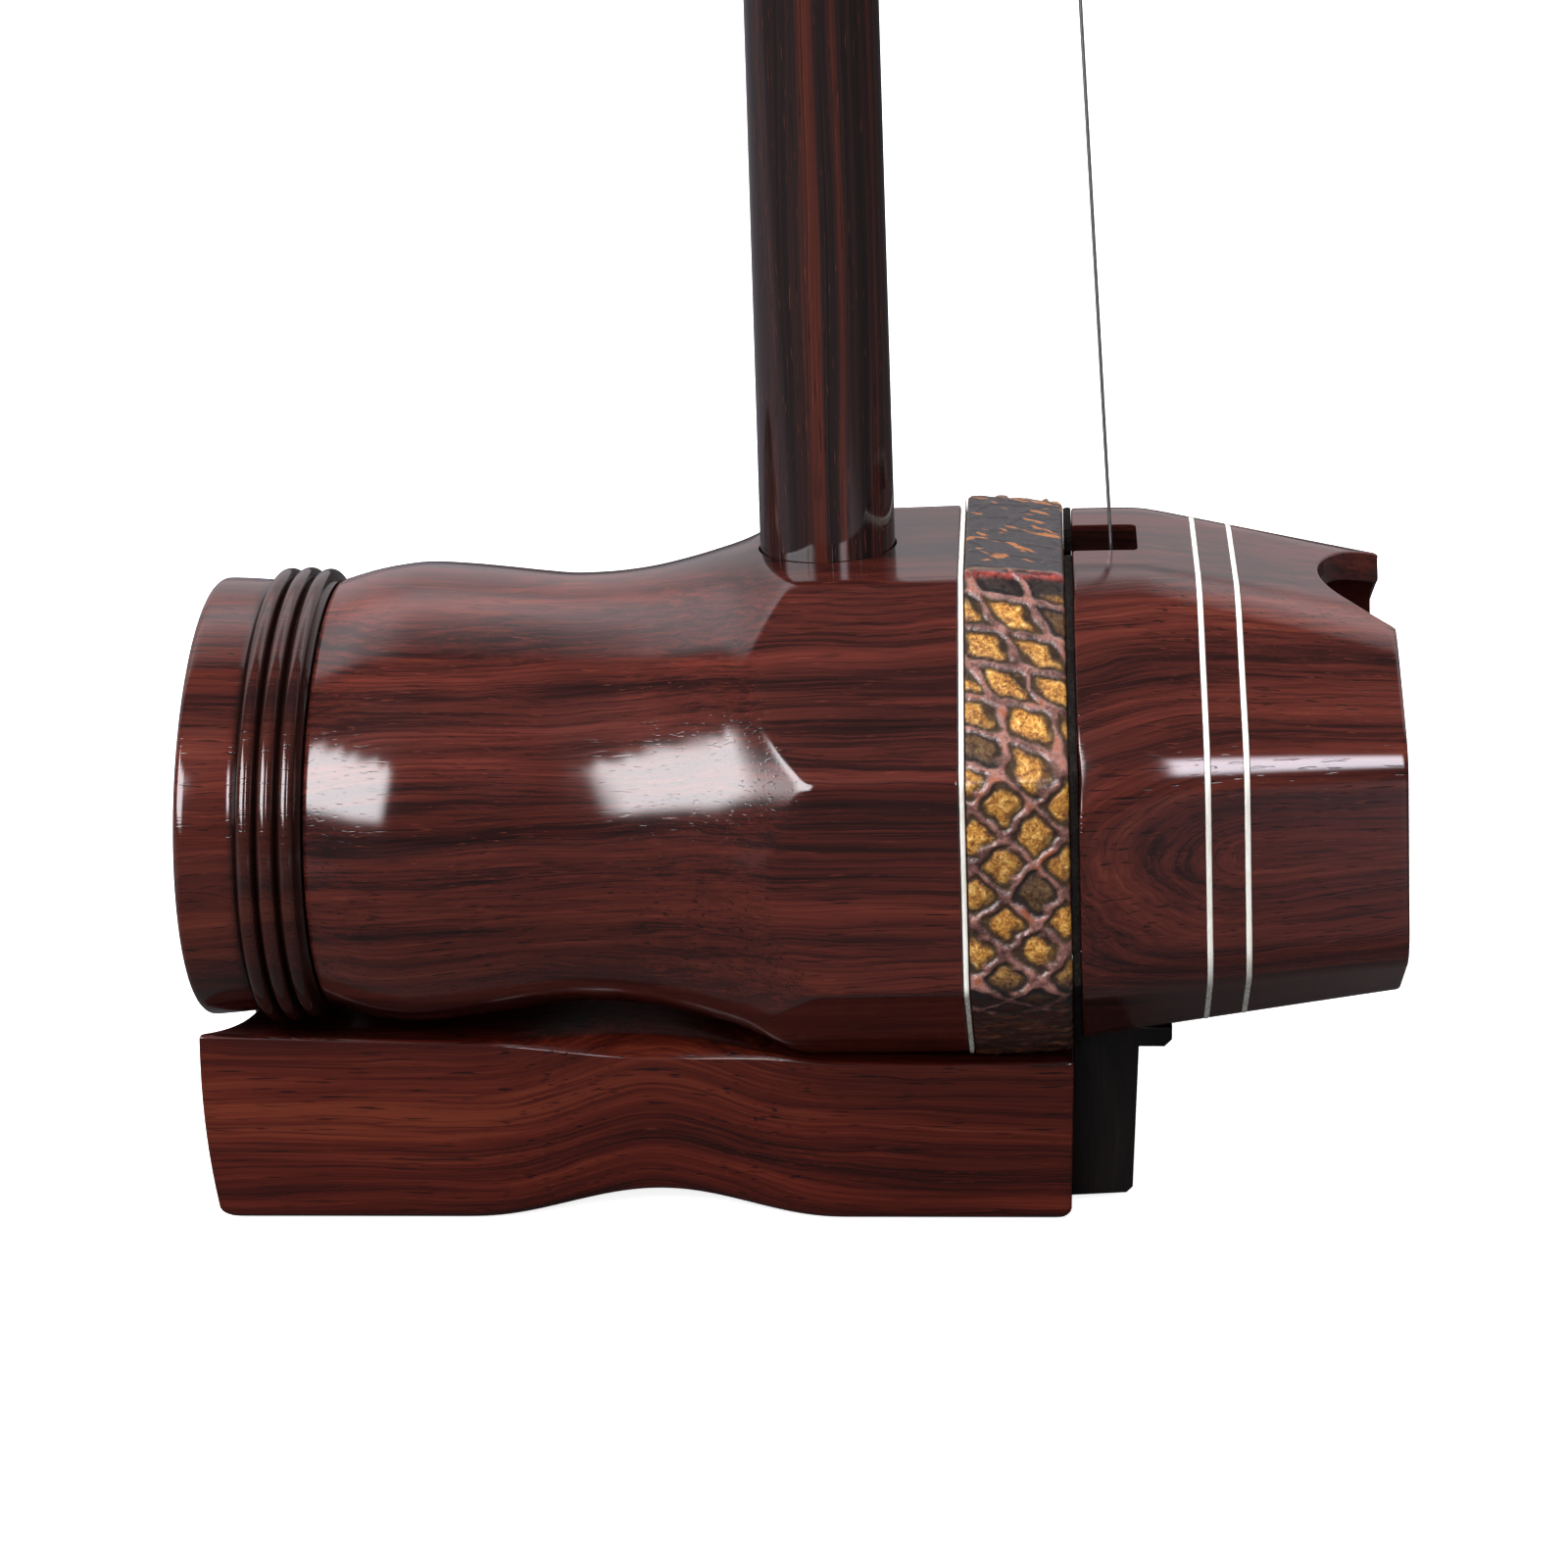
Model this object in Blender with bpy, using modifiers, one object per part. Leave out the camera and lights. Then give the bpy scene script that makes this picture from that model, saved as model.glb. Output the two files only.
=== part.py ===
# Erhu: a two-string bowed spike fiddle.
# Frame: +X towards the skin (the playing side), +Z up. The origin is on the underside of the
# base's front foot, FOOT_X in front of the neck's line. The base stands level; the sound body,
# neck, hood and strings lean back over it by LEAN.
# Leaning pieces are measured from the point where the neck crosses the body's axis, level
# pieces from the resting plane under that point.
import math

import bmesh
import bpy
from mathutils import Vector

MM = 0.001                    # all sizes below are in millimetres

# ------------------------------------------------------------------ driving dimensions
GAP = 0.3                     # clearance between neighbouring solids
LEAN = math.radians(1.9)      # the neck leans this far towards the rear
AXIS_H = 66.2                 # height of the body's axis above the resting plane, at the neck
FOOT_X = 24.0                 # middle of the front foot, in front of the neck's line

OCT_H, OCT_B = 39.6, 41.4     # half height and half width of the flattened octagon
OCT_A, OCT_C = 16.5, 16.9     # half lengths of its top and side facets
FACET_GROWTH = 0.41           # change of a facet's half length per unit of offset
SKIN_FRONT = 37.7             # front of the stretched skin
SKIN_T = 0.7                  # thickness of the skin
SKIN_CLEAR = SKIN_FRONT + GAP  # rear of the pieces that lie on the skin
BODY_FRONT = SKIN_FRONT - SKIN_T - GAP
BODY_RING = 21.0              # step behind the bone inlay ring
BODY_SHOULDER = -79.6         # rear end of the body's visible curve
SPIGOT_R = 30.0               # spigot at the rear of the body, inside the rim
SPIGOT_REAR = -97.0
RIM_REAR = -99.5

NECK_RX, NECK_RY = 10.8, 7.8  # half axes of the neck's oval section at the body
NECK_FOOT = -48.0             # foot of the tenon, inside the base
TAPER_START = 40.0            # the neck tapers from here up to HEAD_Z
HEAD_Z = 660.0                # the neck is straight to here, then curves to the rear
HEAD_R = 105.0                # radius of that curve
HEAD_S = HEAD_Z + HEAD_R * 0.86  # its end, measured along the neck
HEAD_STUB = 2.0               # straight end beyond the curve

HOOD_REAR, HOOD_FRONT = 39.1, 89.6
HOOD_LEVEL = 50.5             # the hood's top is level back from here
HOOD_WALL = 4.5

BASE_REAR, BASE_FRONT = -99.2, 39.0
BRACKET_B = 13.0              # half width of the bracket
BRACKET_CUT_B = BRACKET_B + 0.8  # half width of the openings around it
BRACKET_TOP = 29.9            # above the resting plane
PIN_Y = 4.4                   # half the spacing of the string pins
BOLT_R, BOLT_HEAD_R = 3.0, 6.8
BOLT_SEAT = -60.2             # top of the recess for the bolt's head

PEG_R = 5.5                   # peg at the rear of the neck
PEGS = {"lower": (566.0, 15.8), "upper": (630.0, 20.5)}  # height, x of the string's winding

QIANJIN_Z = 390.0             # cord loop, above the bridge
BRIDGE_X = 46.6               # strings' line at the bridge
STRING_Y = 3.9                # half the strings' spacing at the bridge
STRING_LOOP_Y = 1.9           # half their spacing at the cord loop
STRING_SLOPE = 0.035          # fall towards the neck per unit of height

# ------------------------------------------------------------------ materials
# name: (base colour, roughness, metallic)
FINISHES = {
    "rosewood": ((0.085, 0.018, 0.012), 0.16, 0.0),
    "rosewood_red": ((0.13, 0.03, 0.02), 0.2, 0.0),
    "black_wood": ((0.012, 0.009, 0.009), 0.3, 0.0),
    "bone": ((0.82, 0.79, 0.72), 0.35, 0.0),
    "snake": ((0.36, 0.22, 0.07), 0.4, 0.0),
    "felt": ((0.012, 0.01, 0.01), 0.95, 0.0),
    "steel": ((0.62, 0.62, 0.64), 0.22, 1.0),
    "brass": ((0.72, 0.5, 0.2), 0.28, 1.0),
    "maple": ((0.5, 0.3, 0.13), 0.45, 0.0),
    "cord": ((0.75, 0.7, 0.6), 0.85, 0.0),
    "lattice": ((0.16, 0.05, 0.025), 0.35, 0.0),
}


def make_material(name, colour, roughness, metallic):
    mat = bpy.data.materials.new(name)
    mat.use_nodes = True
    shader = mat.node_tree.nodes["Principled BSDF"]
    shader.inputs["Base Color"].default_value = (*colour, 1)
    shader.inputs["Roughness"].default_value = roughness
    shader.inputs["Metallic"].default_value = metallic
    mat.diffuse_color = (*colour, 1)
    return mat


# ------------------------------------------------------------------ clean start and frames
for old in list(bpy.data.objects):
    bpy.data.objects.remove(old, do_unlink=True)
scene = bpy.context.scene
parts = bpy.data.collections.new("erhu")
cutters = bpy.data.collections.new("erhu_cutters")
scene.collection.children.link(parts)
scene.collection.children.link(cutters)
MATS = {name: make_material(name, *finish) for name, finish in FINISHES.items()}

stand = bpy.data.objects.new("stand", None)
stand.location = (-FOOT_X * MM, 0, 0)
parts.objects.link(stand)
lean = bpy.data.objects.new("lean", None)
lean.location = (0, 0, AXIS_H * MM)
lean.rotation_euler = (0, -LEAN, 0)
lean.parent = stand
parts.objects.link(lean)


# ------------------------------------------------------------------ builders
def place(ob, mat=None, cutter=False, tilt=True):
    """Link a piece or a hidden cutter; tilt hangs it on the lean, otherwise it stands level."""
    (cutters if cutter else parts).objects.link(ob)
    ob.parent = lean if tilt else stand
    if mat:
        ob.data.materials.append(MATS[mat])
    if cutter:
        ob.hide_render = True
        ob.display_type = "WIRE"
    return ob


def new_mesh(name, verts, edges=(), faces=()):
    mesh = bpy.data.meshes.new(name)
    mesh.from_pydata([tuple(c * MM for c in v) for v in verts], edges, faces)
    mesh.update()
    return bpy.data.objects.new(name, mesh)


def from_bmesh(name, bm):
    mesh = bpy.data.meshes.new(name)
    bm.to_mesh(mesh)
    bm.free()
    return bpy.data.objects.new(name, mesh)


def turned(name, profile, steps, mat, closed=False, along="x", at=(0, 0, 0), **kw):
    """Turn (radius, station) points about local Z; along 'x' lays that axis onto +X."""
    count = len(profile)
    edges = [(i, i + 1) for i in range(count - 1)]
    if closed:
        edges.append((count - 1, 0))
    ob = new_mesh(name, [(radius, 0, z) for radius, z in profile], edges)
    ob.location = Vector(at) * MM
    if along == "x":
        ob.rotation_euler = (0, math.pi / 2, 0)
    screw = ob.modifiers.new("turn", "SCREW")
    screw.axis = "Z"
    screw.steps = screw.render_steps = steps
    screw.use_merge_vertices = True
    screw.merge_threshold = 0.00001
    screw.use_smooth_shade = True
    return place(ob, mat, **kw)


def loft(name, rings, mat=None, loop=False, **kw):
    """Skin through rings of equal point counts; the ends are capped, or joined by loop."""
    count = len(rings[0])
    faces = []
    for i in range(len(rings) if loop else len(rings) - 1):
        start, after = i * count, ((i + 1) % len(rings)) * count
        for j in range(count):
            k = (j + 1) % count
            faces.append((start + j, start + k, after + k, after + j))
    if not loop:
        faces.append(tuple(range(count)))
        faces.append(tuple(reversed(range((len(rings) - 1) * count, len(rings) * count))))
    ob = new_mesh(name, [point for ring in rings for point in ring], (), faces)
    bm = bmesh.new()
    bm.from_mesh(ob.data)
    bmesh.ops.recalc_face_normals(bm, faces=bm.faces)
    bm.to_mesh(ob.data)
    bm.free()
    return place(ob, mat, **kw)


def boolean(ob, cutter, how="DIFFERENCE"):
    mod = ob.modifiers.new(how.lower() + "_" + cutter.name, "BOOLEAN")
    mod.operation = how
    mod.solver = "EXACT"
    mod.object = cutter


def box_cutter(name, low, high):
    bm = bmesh.new()
    bmesh.ops.create_cube(bm, size=1)
    size = [(h - l) * MM for l, h in zip(low, high)]
    middle = Vector([(h + l) / 2 * MM for l, h in zip(low, high)])
    bmesh.ops.scale(bm, vec=size, verts=bm.verts)
    bmesh.ops.translate(bm, vec=middle, verts=bm.verts)
    return place(from_bmesh(name, bm), cutter=True)


def rod_cutter(name, radius, length, at, along="z", sides=24, scale_y=1.0, tilt=True):
    """A cylinder centred on at."""
    bm = bmesh.new()
    bmesh.ops.create_cone(bm, cap_ends=True, segments=sides, radius1=radius * MM,
                          radius2=radius * MM, depth=length * MM)
    bmesh.ops.scale(bm, vec=(1, scale_y, 1), verts=bm.verts)
    ob = from_bmesh(name, bm)
    if along == "x":
        ob.rotation_euler = (0, math.pi / 2, 0)
    ob.location = Vector(at) * MM
    return place(ob, cutter=True, tilt=tilt)


def neck_cutter(name, length, at):
    """The neck's oval with clearance all round."""
    radius = NECK_RX + GAP
    return rod_cutter(name, radius, length, at, sides=32, scale_y=(NECK_RY + GAP) / radius)


def poly_curve(name, points, dimensions, cyclic):
    """A temporary curve object through (x, y, z) points."""
    curve = bpy.data.curves.new(name, "CURVE")
    curve.dimensions = dimensions
    spline = curve.splines.new("POLY")
    spline.points.add(len(points) - 1)
    for spline_point, (x, y, z) in zip(spline.points, points):
        spline_point.co = (x * MM, y * MM, z * MM, 1)
    spline.use_cyclic_u = cyclic
    temp = bpy.data.objects.new(name, curve)
    scene.collection.objects.link(temp)
    return temp


def from_curve(temp, mat=None, squash_y=1.0, **kw):
    """Turn a curve object into a closed mesh object in the same place."""
    bpy.context.view_layer.update()
    depsgraph = bpy.context.evaluated_depsgraph_get()
    mesh = bpy.data.meshes.new_from_object(temp.evaluated_get(depsgraph))
    bm = bmesh.new()
    bm.from_mesh(mesh)
    bmesh.ops.remove_doubles(bm, verts=bm.verts, dist=0.000002)
    if squash_y != 1.0:
        bmesh.ops.scale(bm, vec=(1, squash_y, 1), verts=bm.verts)
    bmesh.ops.recalc_face_normals(bm, faces=bm.faces)
    bm.to_mesh(mesh)
    bm.free()
    mesh.materials.clear()
    name, curve, matrix = temp.name, temp.data, temp.matrix_world.copy()
    bpy.data.objects.remove(temp, do_unlink=True)
    bpy.data.curves.remove(curve)
    ob = bpy.data.objects.new(name, mesh)
    ob.matrix_basis = matrix
    return place(ob, mat, **kw)


# plane: (rotation from the curve's own plane, index of the axis across it)
PLANES = {
    "xy": ((0, 0, 0), 2),
    "xz": ((math.pi / 2, 0, 0), 1),
    "yz": ((math.pi / 2, 0, math.pi / 2), 0),
}


def outline(name, points, low, high, mat=None, plane="xy", **kw):
    """A flat outline in a plane, extruded from low to high across it."""
    temp = poly_curve(name, [(u, v, 0) for u, v in points], "2D", cyclic=True)
    temp.data.fill_mode = "BOTH"
    temp.data.extrude = (high - low) / 2 * MM
    rotation, across = PLANES[plane]
    temp.rotation_euler = rotation
    temp.location[across] = (high + low) / 2 * MM
    return from_curve(temp, mat, **kw)


def wire(name, points, radius, mat, factors=None, cyclic=False, resolution=1, **kw):
    """A round bar along points; factors scale its radius point by point."""
    temp = poly_curve(name, points, "3D", cyclic)
    curve = temp.data
    curve.bevel_depth = radius * MM
    curve.bevel_resolution = resolution
    curve.use_fill_caps = not cyclic
    if factors:
        for spline_point, factor in zip(curve.splines[0].points, factors):
            spline_point.radius = factor
    return from_curve(temp, mat, **kw)


def through(points, x):
    """Smooth curve (monotone cubic) through (x, value) points, constant beyond its ends."""
    xs = [point[0] for point in points]
    values = [point[1] for point in points]
    if x <= xs[0]:
        return values[0]
    if x >= xs[-1]:
        return values[-1]
    slopes = [(values[i + 1] - values[i]) / (xs[i + 1] - xs[i]) for i in range(len(xs) - 1)]
    tangents = [slopes[0]]
    for before, after in zip(slopes, slopes[1:]):
        turns = before * after <= 0
        tangents.append(0.0 if turns else 2 * before * after / (before + after))
    tangents.append(slopes[-1])
    i = max(j for j in range(len(xs) - 1) if xs[j] <= x)
    step = xs[i + 1] - xs[i]
    t = (x - xs[i]) / step
    return ((2 * t**3 - 3 * t**2 + 1) * values[i]
            + (t**3 - 2 * t**2 + t) * step * tangents[i]
            + (-2 * t**3 + 3 * t**2) * values[i + 1]
            + (t**3 - t**2) * step * tangents[i + 1])


def octagon(x, top, bottom, side, side_up, side_down, flat):
    """Corners in the plane x: top and bottom facets reach +-flat, side facets lie at +-side."""
    return [(x, flat, top), (x, side, side_up), (x, side, -side_down), (x, flat, -bottom),
            (x, -flat, -bottom), (x, -side, -side_down), (x, -side, side_up), (x, -flat, top)]


def body_octagon(x, offset=0.0, crown=0.0):
    """The body's octagon, moved outwards by offset; crown raises its top facet further."""
    grow = FACET_GROWTH * offset
    return octagon(x, OCT_H + offset + crown, OCT_H + offset, OCT_B + offset,
                   OCT_C + grow, OCT_C + grow, OCT_A + grow)


# ------------------------------------------------------------------ sound body
# (x, radius) of the turned outside: shoulder, bulge, waist, then the flare into the octagon
BODY_CURVE = [
    (BODY_SHOULDER, 33.1), (-75.5, 34.3), (-71.5, 35.15), (-65.5, 35.75), (-59.4, 35.35),
    (-53.0, 34.65), (-46.6, 33.85), (-41.0, 33.35), (-36.5, 33.45), (-30.5, 34.0),
    (-24.1, 35.25), (-17.6, 37.0), (-14.4, 38.0), (-11.4, 39.3), (-8.0, 41.0),
    (-4.2, 42.95), (-1.0, 44.6), (3.0, 46.4),
]
BODY_STATIONS = [3.0, -1.0, -4.2, -8.0, -11.4, -14.4, -19.0, -25.0, -31.0, -37.0, -43.0,
                 -50.0, -58.0, -66.0, -72.0, -76.0, BODY_SHOULDER]
# (x, radius) of the bore: wide at the rear window, narrow at the waist, wide behind the skin
BORE_CURVE = [(-96.0, 26.4), (-70.0, 28.0), (-40.0, 25.5), (-10.0, 29.0), (15.0, 33.0),
              (BODY_FRONT, 33.6)]
BORE_STATIONS = [SPIGOT_REAR, -70.0, -55.0, -40.0, -25.0, -10.0, 5.0, 20.0, BODY_FRONT]
BLANK_R = 47.5                # turned blank that the octagon is cut from


def build_body():
    outer = [(BLANK_R, BODY_FRONT), (BLANK_R, 6.0)]
    outer += [(through(BODY_CURVE, x), x) for x in BODY_STATIONS]
    outer += [(SPIGOT_R, BODY_SHOULDER), (SPIGOT_R, SPIGOT_REAR)]
    inner = [(through(BORE_CURVE, x), x) for x in BORE_STATIONS]
    body = turned("sound_body", outer + inner, 36, "rosewood", closed=True)
    # the prism steps in at BODY_RING to seat the inlay ring and the skin
    prism = loft("cut_octagon", [
        body_octagon(-110.0, -0.4), body_octagon(-12.0, -0.4), body_octagon(BODY_RING),
        body_octagon(BODY_RING + 0.001, -2.3), body_octagon(45.0, -2.3)], cutter=True)
    boolean(body, prism, "INTERSECT")
    boolean(body, neck_cutter("cut_neck_hole", 120, (0, 0, 0)))


RIM_FRONT = -79.95
RIM_SEAT = -97.35             # inner step just behind the spigot
RIM_BEADS = [(-82.0, 34.95), (-85.15, 35.25), (-88.3, 35.2)]  # (centre x, crest radius)
BEAD_H, BEAD_B = 1.5, 1.35    # height and half width of a bead


def build_rim():
    """Rear rim with three turned beads, slipped over the body's spigot."""
    rim = [(33.1, RIM_FRONT)]
    for centre, crest in RIM_BEADS:
        for k in range(1, 5):
            angle = math.pi * k / 5
            rim.append((crest - BEAD_H + BEAD_H * math.sin(angle),
                        centre + BEAD_B * math.cos(angle)))
        rim.append((33.2, centre - 1.575))
    rim += [(33.55, -91.8), (33.85, -96.0), (33.9, -98.6), (33.3, -99.3), (32.4, RIM_REAR),
            (28.6, RIM_REAR), (27.8, -99.1), (27.6, RIM_SEAT), (SPIGOT_R + GAP, RIM_SEAT),
            (SPIGOT_R + GAP, RIM_FRONT)]
    turned("rear_rim_ring", rim, 36, "rosewood", closed=True)


def build_front_inlay():
    """Bone ring let in behind the skin."""
    rear, front = BODY_RING + 0.15, BODY_RING + 0.95
    loft("front_inlay_ring", [body_octagon(rear, 0.25, 0.7), body_octagon(front, 0.25, 0.7),
                              body_octagon(front, -2.0), body_octagon(rear, -2.0)],
         "bone", loop=True)


# (x, offset from the body's octagon, extra height of the top facet)
SKIN_SECTIONS = [(22.2, 0.3, 0.7), (23.0, 0.45, 1.0), (25.0, 0.45, 1.0), (31.0, 0.35, 0.4),
                 (SKIN_FRONT - 0.9, 0.1, 0.0), (SKIN_FRONT, -0.7, 0.0)]


def build_skin():
    """Python skin over the front and round a band, raised on the top facet towards its rear."""
    skin = loft("python_skin", [body_octagon(*section) for section in SKIN_SECTIONS], "snake")
    boolean(skin, loft("cut_skin_inside", [body_octagon(20.0, -2.0),
                                           body_octagon(SKIN_FRONT - SKIN_T, -2.0)], cutter=True))


WINDOW_R = 26.0
WINDOW_FRONT, WINDOW_REAR = -92.0, -96.6
PETAL_REACH = 15.2            # window's centre to a petal's centre
PETAL_L, PETAL_B = 6.4, 5.2   # petal's half length and half width


def build_window():
    """Rear sound window: a turned disc pierced by one round and six petal holes."""
    window = turned("sound_window", [(0, WINDOW_FRONT), (WINDOW_R, WINDOW_FRONT),
                                     (WINDOW_R, WINDOW_REAR), (0, WINDOW_REAR)], 36, "lattice")
    boolean(window, rod_cutter("cut_window_centre", 5.0, 12, (-94, 0, 0), along="x", sides=16))
    for i in range(6):
        turn = math.pi / 3 * i + math.pi / 6
        cos_turn, sin_turn = math.cos(turn), math.sin(turn)
        petal = []
        for k in range(16):
            angle = 2 * math.pi * k / 16
            out = PETAL_REACH + PETAL_L * math.cos(angle)
            across = PETAL_B * math.sin(angle)
            petal.append((out * cos_turn - across * sin_turn, out * sin_turn + across * cos_turn))
        boolean(window, outline("cut_window_%d" % i, petal, -100, -88, plane="yz", cutter=True))


# ------------------------------------------------------------------ neck
def spine(along):
    """Point and direction of the neck's centre line: straight, then an arc to the rear."""
    if along <= HEAD_Z:
        return Vector((0, 0, along)), Vector((0, 0, 1))
    angle = (along - HEAD_Z) / HEAD_R
    cos, sin = math.cos(angle), math.sin(angle)
    return Vector((-HEAD_R * (1 - cos), 0, HEAD_Z + HEAD_R * sin)), Vector((-sin, 0, cos))


def neck_radius(along):
    """Neck's half width in x, tapering upwards and swelling at the head."""
    radius = NECK_RX - 1.3 * max(0.0, along - TAPER_START) / (HEAD_Z - TAPER_START)
    if along > HEAD_Z:
        radius += 3.4 * ((along - HEAD_Z) / (HEAD_S - HEAD_Z)) ** 2
    return radius


def build_neck():
    stations = [NECK_FOOT, TAPER_START, 300.0, 480.0, 560.0, 610.0, HEAD_Z]
    stations += [HEAD_Z + (HEAD_S - HEAD_Z) * k / 7 for k in range(1, 8)]
    end, direction = spine(HEAD_S)
    points = [tuple(spine(s)[0]) for s in stations] + [tuple(end + direction * HEAD_STUB)]
    factors = [neck_radius(s) / NECK_RX for s in stations + [HEAD_S]]
    oval = NECK_RY / NECK_RX
    neck = wire("neck", points, NECK_RX, "rosewood", factors, resolution=6, squash_y=oval)
    for which, (z, _) in PEGS.items():
        boolean(neck, rod_cutter("cut_peg_%s" % which, PEG_R + GAP, 60, (0, 0, z), along="x"))
    boolean(neck, rod_cutter("cut_bolt_in_neck", BOLT_R + GAP, 50, (0, 0, NECK_FOOT), sides=16))

    # bone cap on the end of the curved head
    cap = [tuple(end + direction * reach) for reach in (HEAD_STUB + GAP, 3.6, 4.6, 5.2)]
    wire("head_cap", cap, neck_radius(HEAD_S), "bone", [1.0, 1.0, 0.9, 0.7],
         resolution=6, squash_y=oval)


# ------------------------------------------------------------------ front hood
def hood_octagon(x, inset=0.0):
    """The hood's section: level at the rear, then falling to the front, less so underneath."""
    run = x - HOOD_REAR
    top = 39.5 - 0.232 * max(0.0, x - HOOD_LEVEL)
    bottom = 38.4 - 0.131 * run
    side = 41.2 - 0.143 * run + 0.0008 * run ** 2
    shrink = FACET_GROWTH * inset
    return octagon(x, top - inset, bottom - inset, side - inset, 17.6 - 0.012 * run - shrink,
                   17.4 - 0.028 * run - shrink, 16.6 - 0.008 * run - shrink)


def hood_band(name, rear, front, outside, inside, mat=None, **kw):
    """A ring round the hood between two stations and two insets."""
    loops = ((rear, outside), (front, outside), (front, inside), (rear, inside))
    return loft(name, [hood_octagon(*at) for at in loops], mat, loop=True, **kw)


NOTCH_Y = (13.5, 10.5, 7.0, 3.5, 0, -3.5, -7.0, -10.5, -13.5)  # across the notch's curved rear
HOOD_INLAYS = (("hood_inlay_rear", 58.4), ("hood_inlay_front", 64.4))
INLAY_W = 0.8
GROOVE_PLAY = 0.15            # groove's clearance on each side of an inlay


def build_hood():
    stations = [HOOD_REAR, 47.0, HOOD_LEVEL, 55.0, 72.0, HOOD_FRONT]
    rings = [hood_octagon(x) for x in stations]
    rings += [hood_octagon(x, HOOD_WALL) for x in reversed(stations)]
    hood = loft("hood", rings, "rosewood", loop=True)
    rear = HOOD_REAR - 2
    boolean(hood, box_cutter("cut_string_slot", (rear, -5.7, 25), (49.5, 5.7, 50)))
    boolean(hood, box_cutter("cut_bracket_slot", (rear, -BRACKET_CUT_B, -50),
                             (47.6, BRACKET_CUT_B, -28)))
    # notch in the front of the top
    notch = [(95.0, 16.4), (89.9, 15.9)]
    notch += [(78.6 + 0.0447 * y * y, y) for y in NOTCH_Y]
    notch += [(89.9, -15.9), (95.0, -16.4)]
    boolean(hood, outline("cut_front_notch", notch, 15, 50, cutter=True))
    for name, x in HOOD_INLAYS:
        boolean(hood, hood_band("cut_" + name, x - GROOVE_PLAY, x + INLAY_W + GROOVE_PLAY,
                                -2, 1.35, cutter=True))
        hood_band(name, x, x + INLAY_W, 0.0, 1.2, "bone")


def build_gasket():
    """Thin felt gasket between the skin and the hood, open at the bottom."""
    rear, front = SKIN_CLEAR, SKIN_CLEAR + 0.8
    gasket = loft("hood_felt", [body_octagon(rear, -1.2), body_octagon(front, -1.2),
                                body_octagon(front, -4.6), body_octagon(rear, -4.6)],
                  "felt", loop=True)
    boolean(gasket, box_cutter("cut_felt_bottom", (37, -BRACKET_CUT_B, -50),
                               (40, BRACKET_CUT_B, -20)))


# ------------------------------------------------------------------ base (level)
BASE_STEPS = 22
BASE_REAR_H = 31.5            # height of the rear end at its sides
FOOT_ROUND = 2.2              # height of the rounding under both ends
# (x, height) of the scooped top on its centre line and at its side edges
TOP_CENTRE = [(BASE_REAR, 27.6), (-60.0, 27.6), (-27.0, 26.8), (-12.0, 25.9), (0.0, 26.0),
              (22.0, 26.3), (BASE_FRONT, 27.2)]
TOP_EDGE = [(BASE_REAR, BASE_REAR_H), (-56.0, 30.3), (-27.0, 29.0), (-10.0, 27.8),
            (0.0, 27.1), (22.0, 26.9), (BASE_FRONT, 27.4)]
# (x, power of the scoop's rise from centre to edge)
TOP_POWER = [(BASE_REAR, 2.0), (-27.0, 2.2), (-10.0, 6.0), (BASE_FRONT, 6.0)]


def hump(x, low, high):
    """0 outside low..high, a smooth hump of height 1 between."""
    if x <= low or x >= high:
        return 0.0
    return 0.5 - 0.5 * math.cos(2 * math.pi * (x - low) / (high - low))


def shape_base_end(x, y, z, width):
    """The rear end is hollow in plan and tucks in at its foot; the front foot is rounded."""
    foot = max(0.0, 1 - z / FOOT_ROUND) ** 2
    near_rear = max(0.0, 1 - (x - BASE_REAR) / 22.0)
    tuck = (max(0.0, BASE_REAR_H - z) / BASE_REAR_H) ** 2.2
    x += near_rear * (6.5 * (1 - (y / width) ** 2) + 3.2 * tuck + 1.8 * foot)
    near_front = max(0.0, 1 - (BASE_FRONT - x) / 8.0)
    x -= near_front * 1.9 * foot
    return (x, y, z)


def base_ring(x):
    """Section of the base: flat feet with an arch between, waisted sides, scooped top."""
    width = 20.0 - 0.5 * (x - BASE_REAR) / (BASE_FRONT - BASE_REAR) - 3.4 * hump(x, -58.0, 4.0)
    low = 3.0 * hump(x, -55.0, 1.5)
    crown = hump(x, -56.0, -3.0)
    centre = through(TOP_CENTRE, x)
    edge = through(TOP_EDGE, x) - 1.0 * crown
    power = through(TOP_POWER, x)
    # chamfer along the top edge, widest at the waist
    chamfer_y, chamfer_z = 0.5 + 3.4 * crown, 0.4 + 1.7 * crown
    top_y = width - chamfer_y
    half = [(0.0, low), (width * 0.5, low), (width - 2.0, low), (width - 0.6, low + 0.5),
            (width, low + 2.0), (width, low + 14.0), (width, edge - chamfer_z), (top_y, edge)]
    half += [(f * top_y, centre + (edge - centre) * f ** power)
             for f in (0.8, 0.6, 0.4, 0.2, 0.0)]
    full = half + [(-y, z) for y, z in reversed(half[1:-1])]
    return [shape_base_end(x, y, z, width) for y, z in full]


def build_base():
    length = BASE_FRONT - BASE_REAR
    rings = [base_ring(BASE_REAR + length * k / BASE_STEPS) for k in range(BASE_STEPS + 1)]
    base = loft("base", rings, "rosewood_red", tilt=False)
    boolean(base, neck_cutter("cut_neck_socket", 100, (0, 0, NECK_FOOT - 0.4 + 50)))
    boolean(base, rod_cutter("cut_bolt_way", BOLT_R + 0.4, 60, (0, 0, -55), sides=16))
    boolean(base, rod_cutter("cut_bolt_head", BOLT_HEAD_R + 0.5, 30, (0, 0, BOLT_SEAT - 15)))
    return base


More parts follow.
